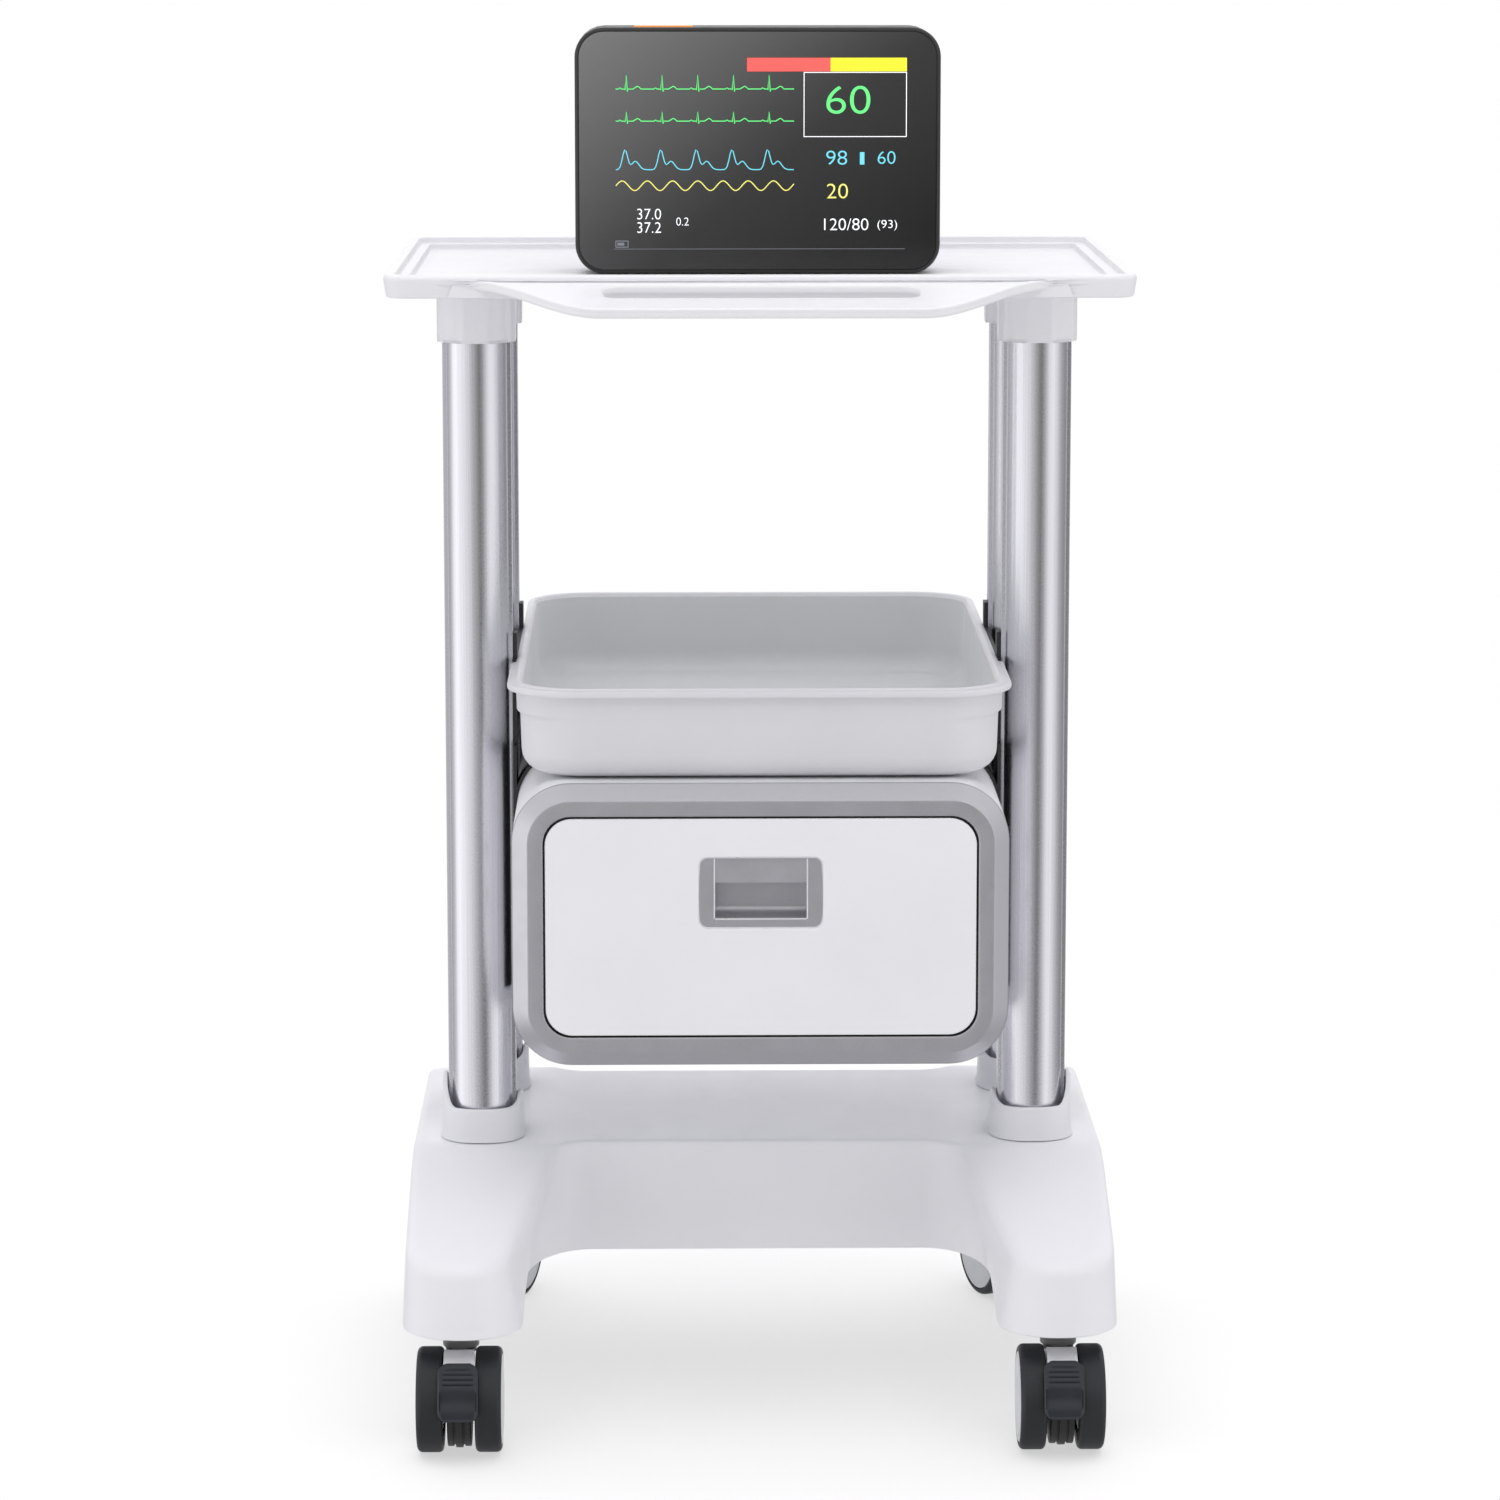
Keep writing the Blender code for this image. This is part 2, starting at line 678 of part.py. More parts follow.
def make_box_housing():
    housing = prism("housing_work", [box_section(0.0)], FRONT + GAP, BOX_BACK, axis="Y")
    round_edges(housing, 0.0015, 1)
    body = add_object("housing_body", baked_mesh(housing))
    hollow = prism("housing_hollow", [box_section(WALL)], FRONT - 0.02, BOX_BACK - WALL, axis="Y")
    cut(body, hollow)
    settle(body, "box_housing", "white_abs")


def make_box_bezel():
    """A ring with a 45 degree outer chamfer and a flat face round the drawer."""
    ring = prism("bezel_work", [box_section(0.0)], FRONT - BEZEL_PROUD, FRONT, axis="Y")
    work = bmesh.new()
    work.from_mesh(ring.data)
    front = max(vertex.co.z for vertex in work.verts)
    middle = Vector((0.0, BOX_MIDDLE_Z, 0.0))
    wide = (BOX_HALF_WIDTH - BEZEL_CHAMFER) / BOX_HALF_WIDTH
    half_height = (BOX_TOP - BOX_BOTTOM) / 2
    tall = (half_height - BEZEL_CHAMFER) / half_height
    for vertex in work.verts:
        if abs(vertex.co.z - front) < 1e-6:
            across = (vertex.co - middle)
            vertex.co.x = across.x * wide
            vertex.co.y = middle.y + across.y * tall
    work.to_mesh(ring.data)
    work.free()
    opening = prism("bezel_opening", [opening_section(0.0)], FRONT - 0.05, FRONT + 0.05, axis="Y")
    cut(ring, opening)
    settle(ring, "box_bezel", "silver_abs", 25.0)


def make_box_brackets():
    """Black plates that hug the drawer box's sides and upper corners, on the posts."""
    low = BOX_HALF_WIDTH + GAP
    high = POST_X - POST_HALF_WIDTH - GAP
    corner = (BOX_HALF_WIDTH - BOX_CORNER, BOX_TOP - BOX_CORNER)
    hug = BOX_CORNER + GAP
    outline = arc(corner, hug + high - low, 0, 50, 5) + arc(corner, hug, 50, 0, 5)
    outline = [(low, 0.322), (high, 0.322)] + outline
    plate = prism("plate_work", [outline], POST_YS[0] - 0.020, FRONT + 0.420, axis="Y")
    tabs = [block("plate_tab", (low, y - 0.020, 0.450), (high, y + 0.020, BRACKET_SPLIT))
            for y in POST_YS]
    join(plate, *tabs)
    right = settle(plate, "box_bracket_right", "black_metal")
    mirror_copy(right, "box_bracket_left", "black_metal")


def pull_section(grow):
    return rounded_rectangle(-PULL_HALF_WIDTH - grow, PULL_HALF_WIDTH + grow,
                             PULL_LOW - grow, PULL_HIGH + grow, PULL_CORNER + grow, 3)


def make_drawer_front():
    front = prism("front_work", [opening_section(DRAWER_CLEAR)], DRAWER_FACE, DRAWER_BACK,
                  axis="Y")
    round_edges(front, 0.0016, 2)
    body = add_object("front_body", baked_mesh(front))
    hole = prism("pull_hole", [pull_section(GAP)], DRAWER_FACE - 0.02, DRAWER_BACK + 0.02, axis="Y")
    cut(body, hole)
    settle(body, "drawer_front", "white_drawer")


def make_drawer_pull():
    """A flush finger pull: a cup whose pocket runs up behind its upper plate."""
    face = DRAWER_FACE + 0.0004
    cup = prism("pull_work", [pull_section(0.0)], face, face + PULL_DEPTH, axis="Y")
    mouth = block("pull_mouth", (-POCKET_HALF_WIDTH, face - 0.01, POCKET_LOW),
                  (POCKET_HALF_WIDTH, face + PULL_DEPTH - 0.002, POCKET_HIGH))
    cove = block("pull_cove", (-POCKET_HALF_WIDTH - 0.006, face + 0.006, POCKET_LOW),
                 (POCKET_HALF_WIDTH + 0.006, face + PULL_DEPTH - 0.0025, PULL_HIGH - 0.003))
    cut(cup, mouth, cove)
    settle(cup, "drawer_pull", "silver_abs")


def make_drawer_tub():
    start = DRAWER_BACK + GAP
    tub = block("tub_work", (-TUB_HALF_WIDTH, start, TUB_LOW),
                (TUB_HALF_WIDTH, start + TUB_DEPTH, TUB_HIGH))
    inside = block("tub_inside", (-TUB_HALF_WIDTH + WALL, start + WALL, TUB_LOW + WALL),
                   (TUB_HALF_WIDTH - WALL, start + TUB_DEPTH - WALL, TUB_HIGH + 0.01))
    cut(tub, inside)
    settle(tub, "drawer_tub", "grey_abs")


def channel(web_low, web_high, lip_low, half_height, thickness):
    """A C-section opening towards the drawer, in X and Z."""
    low = SLIDE_Z - half_height
    high = SLIDE_Z + half_height
    return [(web_high, low), (web_high, high), (lip_low, high), (lip_low, high - thickness),
            (web_low, high - thickness), (web_low, low + thickness), (lip_low, low + thickness),
            (lip_low, low)]


def make_slides():
    """Telescopic slides: outer on the housing, middle between, inner on the drawer tub."""
    start = DRAWER_BACK + 0.006
    end = start + SLIDE_LENGTH
    outer = prism("outer_work", [channel(0.1552, 0.1570, 0.1452, 0.0225, 0.0018)], start, end,
                  axis="Y")
    spacer = block("spacer", (0.1565, start + 0.02, SLIDE_Z - 0.014),
                   (BOX_HALF_WIDTH - WALL - GAP, start + 0.05, SLIDE_Z + 0.014))
    spacer_rear = block("spacer_rear", (0.1565, end - 0.05, SLIDE_Z - 0.014),
                        (BOX_HALF_WIDTH - WALL - GAP, end - 0.02, SLIDE_Z + 0.014))
    join(outer, spacer, spacer_rear)
    outer_right = settle(outer, "slide_outer_right", "steel")
    middle = prism("middle_work", [channel(0.1531, 0.1548, 0.1460, 0.0202, 0.0018)], start, end,
                   axis="Y")
    middle_right = settle(middle, "slide_middle_right", "steel")
    bar = [(TUB_HALF_WIDTH + GAP, SLIDE_Z - 0.012), (0.1455, SLIDE_Z - 0.012),
           (0.1455, SLIDE_Z - 0.016), (0.1526, SLIDE_Z - 0.016), (0.1526, SLIDE_Z + 0.016),
           (0.1455, SLIDE_Z + 0.016), (0.1455, SLIDE_Z + 0.012),
           (TUB_HALF_WIDTH + GAP, SLIDE_Z + 0.012)]
    inner = prism("inner_work", [bar], start, end, axis="Y")
    inner_right = settle(inner, "slide_inner_right", "steel")
    mirror_copy(outer_right, "slide_outer_left", "steel")
    mirror_copy(middle_right, "slide_middle_left", "steel")
    mirror_copy(inner_right, "slide_inner_left", "steel")


# ---------------------------------------------------------------- monitor
def monitor_section(inset):
    return rounded_rectangle(-MONITOR_HALF_WIDTH + inset, MONITOR_HALF_WIDTH - inset,
                             MONITOR_LOW + inset, MONITOR_HIGH - inset,
                             MONITOR_CORNER - inset, 6)


def make_monitor_case():
    case = prism("case_work", [monitor_section(0.0)], CASE_FRONT, MONITOR_FACE + MONITOR_DEPTH,
                 axis="Y")
    round_edges(case, 0.006, 2)
    body = add_object("case_body", baked_mesh(case))
    hollow = prism("case_hollow", [monitor_section(0.0035)], CASE_FRONT - 0.03,
                   MONITOR_FACE + MONITOR_DEPTH - 0.0035, axis="Y")
    seat = block("lamp_seat", (LAMP_X[0] - GAP, CASE_FRONT - 0.005, 1.0530),
                 (LAMP_X[1] + GAP, CASE_FRONT + 0.0163, 1.07))
    key_hole = block("key_hole", (0.12, KEY_Y - KEY_HALF[0] - GAP, KEY_Z - KEY_HALF[1] - GAP),
                     (0.15, KEY_Y + KEY_HALF[0] + GAP, KEY_Z + KEY_HALF[1] + GAP))
    cut(body, hollow, seat, key_hole)
    settle(body, "monitor_case", "case_plastic")


def make_monitor_front():
    frame = prism("frame_work", [monitor_section(0.0)], MONITOR_FACE,
                  MONITOR_FACE + MONITOR_FRAME, axis="Y")
    round_edges(frame, 0.0018, 2)
    body = add_object("frame_body", baked_mesh(frame))
    window = block("window", (-SCREEN_HALF_WIDTH, MONITOR_FACE - 0.01, SCREEN_LOW),
                   (SCREEN_HALF_WIDTH, MONITOR_FACE + 0.02, SCREEN_HIGH))
    cut(body, window)
    settle(body, "monitor_front", "case_plastic")


def make_monitor_small_parts():
    block("monitor_glass", (-SCREEN_HALF_WIDTH + GAP, MONITOR_FACE + 0.0008, SCREEN_LOW + GAP),
          (SCREEN_HALF_WIDTH - GAP, MONITOR_FACE + MONITOR_FRAME, SCREEN_HIGH - GAP),
          "screen_glass")
    lamp = block("lamp_work", (LAMP_X[0], CASE_FRONT + GAP, 1.0534),
                 (LAMP_X[1], CASE_FRONT + 0.016, LAMP_TOP))
    round_edges(lamp, 0.0012, 2)
    settle(lamp, "alarm_lamp", "lamp_amber")
    key = block("key_work", (MONITOR_HALF_WIDTH - 0.0050, KEY_Y - KEY_HALF[0], KEY_Z - KEY_HALF[1]),
                (MONITOR_HALF_WIDTH + 0.0012, KEY_Y + KEY_HALF[0], KEY_Z + KEY_HALF[1]))
    round_edges(key, 0.0006, 1)
    settle(key, "power_key", "case_plastic")


def make_monitor_dock():
    """A wedge-shaped stand screwed to the deck behind the monitor."""
    near = MONITOR_FACE + MONITOR_DEPTH + GAP
    profile = [(near, MONITOR_LOW), (near + 0.075, MONITOR_LOW), (near + 0.075, MONITOR_LOW + 0.010),
               (near + 0.022, MONITOR_LOW + 0.105), (near, MONITOR_LOW + 0.105)]
    dock = prism("dock_work", [profile], -0.050, 0.050, axis="X")
    round_edges(dock, 0.004, 2)
    settle(dock, "monitor_dock", "case_plastic")


# ---------------------------------------------------------------- casters
def wheel_mesh():
    """Twin-wheel caster wheel with its axis along X; the hub cover looks to +X."""
    half = WHEEL_WIDTH / 2
    profile = [(0.0315, half), (0.0372, half - 0.0016), (WHEEL_RADIUS, half - 0.006),
               (WHEEL_RADIUS, -half + 0.006), (0.0372, -half + 0.0016), (0.0315, -half),
               (AXLE_RADIUS + GAP, -half), (AXLE_RADIUS + GAP, half + 0.0006)]
    mesh = baked_mesh(turned("wheel_work", profile, 24, closed=True))
    mesh.transform(Matrix.Rotation(math.pi / 2, 4, "Y"))
    return mesh


def fork_mesh(with_pedal):
    """The swivelling body between the two wheels; its origin is under the swivel axis."""
    hub = (-CASTER_TRAIL, WHEEL_RADIUS)
    profile = [(0.012, 0.0750), (-0.016, 0.0750), (-0.022, 0.0730)]
    profile += arc(hub, FORK_FOOT_RADIUS, 140, 345, 16)
    profile += [(0.012, 0.060)]
    fork = prism("fork_work", [profile], -FORK_HALF_WIDTH, FORK_HALF_WIDTH, axis="X")
    head = rod("fork_head", FORK_HEAD_RADIUS, 0.0738, FORK_HEAD_TOP, segments=24)
    join(fork, head)
    pin_bore = rod("king_pin_bore", 0.0045, 0.066, 0.1, segments=12)
    axle_bore = rod("axle_bore", AXLE_RADIUS + GAP, -0.03, 0.03, axis="X", centre=hub, segments=12)
    cut(fork, pin_bore, axle_bore)
    if with_pedal:
        slot = block("pedal_slot", (-0.0040, -0.070, 0.0270), (0.0040, -0.0305, 0.0680))
        pin = rod("pedal_pin_bore", 0.0028, -0.0075, 0.0075, axis="X", centre=PEDAL_HINGE,
                  segments=10)
        cut(fork, slot, pin)
    return baked_mesh(fork)


def pedal_mesh():
    """A curved pedal in front of the wheels, on a web that is hinged inside the fork."""
    hub = (-CASTER_TRAIL, WHEEL_RADIUS)
    high, low = PEDAL_ARC
    plate = arc(hub, PEDAL_OUTER, high, low, 8) + arc(hub, PEDAL_INNER, low, high, 8)
    pedal = prism("pedal_work", [plate], -PEDAL_HALF_WIDTH, PEDAL_HALF_WIDTH, axis="X")
    web = arc(PEDAL_HINGE, 0.0048, -80, 100, 6)
    web += [(hub[0] - 0.0385, hub[1] + 0.021), (hub[0] - 0.0435, hub[1] + 0.003)]
    rib = prism("pedal_web", [web], -0.0035, 0.0035, axis="X")
    pin = rod("pedal_pin", 0.0025, -0.0072, 0.0072, axis="X", centre=PEDAL_HINGE, segments=10)
    join(pedal, rib, pin)
    return baked_mesh(pedal)


def make_stem(name, x, y):
    """Fixed stem: a bolt through the base's rail, a flange and the king pin below it."""
    profile = [(0.0, 0.150), (STEM_RADIUS, 0.150), (STEM_RADIUS, LEG_BOTTOM - GAP),
               (FORK_HEAD_RADIUS, LEG_BOTTOM - GAP), (FORK_HEAD_RADIUS, FORK_HEAD_TOP + GAP),
               (0.004, FORK_HEAD_TOP + GAP), (0.004, 0.068), (0.0, 0.068)]
    mesh = baked_mesh(turned("stem_work", profile, 20))
    stem = add_object(name, mesh, "steel")
    stem.location = (x, y, 0.0)


def make_caster(ending, x, y, turn, meshes):
    pivot = bpy.data.objects.new("caster_pivot_" + ending, None)
    CART.objects.link(pivot)
    pivot.location = (x, y, 0.0)
    pivot.rotation_euler = (0.0, 0.0, turn)
    make_stem("caster_stem_" + ending, x, y)
    pieces = [add_object("caster_fork_" + ending, meshes["fork"].copy(), "silver_abs")]
    hub = (0.0, -CASTER_TRAIL, WHEEL_RADIUS)
    axle = rod("caster_axle_" + ending, AXLE_RADIUS, -0.0312, 0.0312, axis="X", centre=hub[1:],
               segments=12, finish="steel")
    pieces.append(axle)
    for side, side_name in ((-1, "left"), (1, "right")):
        name = "wheel_%s_%s" % (ending, side_name)
        wheel = add_object(name, meshes["wheel"].copy(), "tyre")
        wheel.location = (side * WHEEL_CENTRE_X, hub[1], hub[2])
        wheel.rotation_euler = (0.0, 0.0, 0.0 if side > 0 else math.pi)
        pieces.append(wheel)
    if "pedal" in meshes:
        pieces.append(add_object("brake_pedal_" + ending, meshes["pedal"].copy(), "pedal_plastic"))
    for piece in pieces:
        piece.parent = pivot


def make_casters():
    wheel = wheel_mesh()
    front = {"wheel": wheel, "fork": fork_mesh(True), "pedal": pedal_mesh()}
    rear = {"wheel": wheel, "fork": fork_mesh(False)}
    make_caster("front_left", -CASTER_X, CASTER_FRONT_Y, 0.0, front)
    make_caster("front_right", CASTER_X, CASTER_FRONT_Y, 0.0, front)
    make_caster("rear_left", -CASTER_X, CASTER_REAR_Y, math.pi - REAR_SWIVEL, rear)
    make_caster("rear_right", CASTER_X, CASTER_REAR_Y, math.pi + REAR_SWIVEL, rear)


def main():
    make_base_shell()
    make_base_frame()
    make_posts()
    make_top_shelf()
    make_shelf_handle()
    make_tray()
    make_tray_brackets()
    make_box_housing()
    make_box_bezel()
    make_box_brackets()
    make_drawer_front()
    make_drawer_pull()
    make_drawer_tub()
    make_slides()
    make_monitor_case()
    make_monitor_front()
    make_monitor_small_parts()
    make_monitor_dock()
    make_casters()


main()
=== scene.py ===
"""Crash cart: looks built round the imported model.

Metres, +Z up. X runs across the cart, -Y is its front. Every piece is built where it lies, so its
object stays at the origin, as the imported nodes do.
"""

import math

import bmesh
import bpy
from mathutils import Matrix, Vector
from mathutils.geometry import delaunay_2d_cdt


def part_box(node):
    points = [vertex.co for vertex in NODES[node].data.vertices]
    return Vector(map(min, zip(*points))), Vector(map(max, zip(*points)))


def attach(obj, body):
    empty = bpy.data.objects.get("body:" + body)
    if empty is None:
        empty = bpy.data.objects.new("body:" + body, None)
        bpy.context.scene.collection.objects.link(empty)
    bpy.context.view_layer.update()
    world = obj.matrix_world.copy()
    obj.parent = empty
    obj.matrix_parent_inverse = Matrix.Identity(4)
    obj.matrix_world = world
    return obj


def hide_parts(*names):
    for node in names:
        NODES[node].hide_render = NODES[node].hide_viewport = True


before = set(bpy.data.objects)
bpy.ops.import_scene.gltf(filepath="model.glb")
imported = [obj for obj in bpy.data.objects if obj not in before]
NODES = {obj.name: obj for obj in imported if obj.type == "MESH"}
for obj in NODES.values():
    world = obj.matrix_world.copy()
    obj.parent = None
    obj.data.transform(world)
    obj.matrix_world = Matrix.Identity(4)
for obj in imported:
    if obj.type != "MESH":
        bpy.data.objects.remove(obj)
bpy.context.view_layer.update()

# ---------------------------------------------------------------- dimensions shared with the part
SHELF_LOW, SHELF_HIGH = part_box("top_shelf")
TRAY_LOW, TRAY_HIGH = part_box("tray")
HOUSING_LOW, HOUSING_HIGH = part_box("box_housing")
BEZEL_LOW, BEZEL_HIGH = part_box("box_bezel")
DRAWER_LOW, DRAWER_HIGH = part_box("drawer_front")
PULL_LOW, PULL_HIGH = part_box("drawer_pull")
FACE_LOW, FACE_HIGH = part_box("monitor_front")

FRONT = SHELF_LOW.y               # the top shelf's front edge
FLOOR_Z = 0.0
BASE_TOP = 0.204
BASE_MID_Y = FRONT + 0.2525
LEG_BOTTOM = 0.093
APRON_BOTTOM = 0.119
CREASE_FRONT = FRONT + 0.122
CREASE_REAR = FRONT + 0.383
LEG_SLOPE = 0.40
SHELF_DECK = 0.8745
SHELF_RIM = 0.0086
POST_TOP = 0.8665
SIDES = (("left", -1), ("right", 1))
POST_X, POST_FRONT, POST_REAR = 0.213, FRONT + 0.165, FRONT + 0.322
CASTER_X, CASTER_FRONT, CASTER_REAR = 0.2256, FRONT + 0.0275, FRONT + 0.402
REAR_SWIVEL = math.radians(20.0)
CORNERS = {end + "_" + side: (sign * POST_X, y)
           for end, y in (("front", POST_FRONT), ("rear", POST_REAR)) for side, sign in SIDES}
CASTERS = {"front_" + side: (sign * CASTER_X, CASTER_FRONT, 0.0) for side, sign in SIDES}
CASTERS.update({"rear_" + side: (sign * CASTER_X, CASTER_REAR, math.pi + sign * REAR_SWIVEL)
                for side, sign in SIDES})
AXLE_Y, AXLE_Z = -0.025, 0.0395


# ---------------------------------------------------------------- outlines
def arc(centre, radius, start, end, steps=6):
    points = []
    for index in range(steps + 1):
        angle = math.radians(start + (end - start) * index / steps)
        points.append((centre[0] + radius * math.cos(angle), centre[1] + radius * math.sin(angle)))
    return points


def rounded(left, right, low, high, radius, steps=8):
    """Closed outline of a rectangle with round corners, anticlockwise from the lower right."""
    points = arc((right - radius, low + radius), radius, -90, 0, steps)
    points += arc((right - radius, high - radius), radius, 0, 90, steps)
    points += arc((left + radius, high - radius), radius, 90, 180, steps)
    points += arc((left + radius, low + radius), radius, 180, 270, steps)
    return points


def corner_arc(before, corner, after, radius, steps):
    """Points of the fillet at a corner, from the side that comes from 'before'."""
    corner = Vector(corner)
    back = (Vector(before) - corner).normalized()
    ahead = (Vector(after) - corner).normalized()
    half = back.angle(ahead) / 2
    centre = corner + (back + ahead).normalized() * (radius / math.sin(half))
    start = corner + back * (radius / math.tan(half)) - centre
    sweep = (math.pi - 2 * half) * (1 if back.cross(ahead) < 0 else -1)
    points = []
    for index in range(steps + 1):
        points.append(tuple(centre + Matrix.Rotation(sweep * index / steps, 2) @ start))
    return points


def filleted(corners, radii, steps=6):
    """Closed outline through the corners, each rounded by its own radius."""
    points = []
    for index, corner in enumerate(corners):
        radius = radii[index] if isinstance(radii, (list, tuple)) else radii
        after = corners[(index + 1) % len(corners)]
        points += corner_arc(corners[index - 1], corner, after, radius, steps)
    return points


def filleted_path(corners, radii, steps, straight):
    """Open path with rounded inner corners, and each straight stretch in equal parts."""
    stops = [[corners[0]]]
    for index in range(1, len(corners) - 1):
        stops.append(corner_arc(corners[index - 1], corners[index], corners[index + 1],
                                radii[index - 1], steps))
    stops.append([corners[-1]])
    points = list(stops[0])
    for here, there in zip(stops, stops[1:]):
        start, end = Vector(here[-1]), Vector(there[0])
        points += [tuple(start.lerp(end, (k + 1) / straight)) for k in range(straight)]
        points += there[1:]
    return points


def mirrored(right):
    """Closed outline from its right half, which runs from x = 0 or beside it round to x = 0."""
    return right + [(-x, y) for x, y in reversed(right) if x > 1e-6]


def inward(points):
    """Unit normals into a closed anticlockwise outline."""
    normals = []
    for index in range(len(points)):
        before, after = points[index - 1], points[(index + 1) % len(points)]
        along = Vector((after[0] - before[0], after[1] - before[1])).normalized()
        normals.append((-along.y, along.x))
    return normals


def inset(points, distance):
    return [(p[0] + n[0] * distance, p[1] + n[1] * distance)
            for p, n in zip(points, inward(points))]


def at(points, level, axis="Z"):
    """The outline in space: 'level' is along the axis, the outline lies across it."""
    if axis == "Z":
        return [(u, v, level) for u, v in points]
    if axis == "Y":
        return [(u, level, v) for u, v in points]
    return [(level, u, v) for u, v in points]


# ---------------------------------------------------------------- meshes
def add(name, data):
    item = bpy.data.objects.new(name, data)
    bpy.context.scene.collection.objects.link(item)
    return item


def clean(mesh, weld=1e-6):
    """Welds the mesh and turns its normals outwards."""
    work = bmesh.new()
    work.from_mesh(mesh)
    bmesh.ops.remove_doubles(work, verts=work.verts, dist=weld)
    bmesh.ops.dissolve_degenerate(work, edges=work.edges, dist=1e-7)
    bmesh.ops.recalc_face_normals(work, faces=work.faces)
    work.to_mesh(mesh)
    work.free()
    return mesh


def taken_mesh(item):
    """The evaluated mesh of an object that is then removed."""
    bpy.context.view_layer.update()
    mesh = bpy.data.meshes.new_from_object(item.evaluated_get(
        bpy.context.evaluated_depsgraph_get()))
    bpy.data.objects.remove(item)
    return mesh


def from_lists(name, points, faces):
    mesh = bpy.data.meshes.new(name)
    mesh.from_pydata([tuple(point) for point in points], [], faces)
    return clean(mesh)


def loft(name, rings, cap_first=False, cap_last=False, closed=False):
    """Skin through rings of equal length; closed joins the last ring to the first."""
    count = len(rings[0])
    points = [point for ring in rings for point in ring]
    faces = []
    for index in range(len(rings) if closed else len(rings) - 1):
        low, high = index * count, (index + 1) % len(rings) * count
        for step in range(count):
            following = (step + 1) % count
            faces.append((low + step, low + following, high + following, high + step))
    if cap_first:
        faces.append(tuple(range(count))[::-1])
    if cap_last:
        faces.append(tuple(range(len(points) - count, len(points))))
    return from_lists(name, points, faces)


def slab(name, loops, low, high, axis="Z", edge=0.0008, steps=3):
    """Plate across an axis with rounded edges; loops after the first are holes."""
    curve = bpy.data.curves.new(name, "CURVE")
    curve.dimensions = "2D"
    curve.fill_mode = "BOTH"
    curve.bevel_depth = edge
    curve.bevel_resolution = steps
    curve.offset = -edge
    curve.extrude = (high - low) / 2 - edge
    for loop in loops:
        spline = curve.splines.new("POLY")
        spline.points.add(len(loop) - 1)
        for point, (u, v) in zip(spline.points, loop):
            point.co = (u, v, 0.0, 1.0)
        spline.use_cyclic_u = True
    mesh = taken_mesh(add(name + "_curve", curve))
    bpy.data.curves.remove(curve)
    middle = (low + high) / 2
    for vertex in mesh.vertices:
        u, v, across = vertex.co
        vertex.co = at([(u, v)], middle + across, axis)[0]
    return clean(mesh)


def turned(name, profile, axis="Z", centre=(0.0, 0.0), segments=48, closed=False):
    """Solid of revolution; the profile holds (radius, level) pairs."""
    count = len(profile)
    points, faces = [], []
    for index in range(segments):
        angle = math.tau * index / segments
        for radius, level in profile:
            spot = (centre[0] + radius * math.cos(angle), centre[1] + radius * math.sin(angle))
            points += at([spot], level, axis)
        here, there = index * count, (index + 1) % segments * count
        for step in range(count if closed else count - 1):
            following = (step + 1) % count
            faces.append((here + step, here + following, there + following, there + step))
    return from_lists(name, points, faces)


def joined(name, *meshes):
    """One mesh from several closed ones."""
    work = bmesh.new()
    for mesh in meshes:
        work.from_mesh(mesh)
        bpy.data.meshes.remove(mesh)
    mesh = bpy.data.meshes.new(name)
    work.to_mesh(mesh)
    work.free()
    return mesh


def placed(mesh, matrix):
    mesh.transform(matrix)
    if matrix.determinant() < 0:
        mesh.flip_normals()
    return mesh


def copied(mesh, matrix):
    return placed(mesh.copy(), matrix)


def piece(name, mesh, body, finish, replaced=(), degrees=32.0):
    """A finished piece: shaded, on its body and material."""
    mesh.shade_smooth()
    mesh.set_sharp_from_angle(angle=math.radians(degrees))
    mesh.materials.clear()
    mesh.materials.append(finish)
    item = add(name, mesh)
    weighted = item.modifiers.new("even_shading", "WEIGHTED_NORMAL")
    weighted.keep_sharp = True
    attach(item, body)
    if replaced:
        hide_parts(*replaced)
    return item


def thickened(mesh, wall):
    """A closed shell from an open skin, thickened inwards."""
    holder = add("shell_body", mesh)
    solid = holder.modifiers.new("wall", "SOLIDIFY")
    solid.thickness = wall
    solid.offset = -1.0
    result = taken_mesh(holder)
    bpy.data.meshes.remove(mesh)
    return result


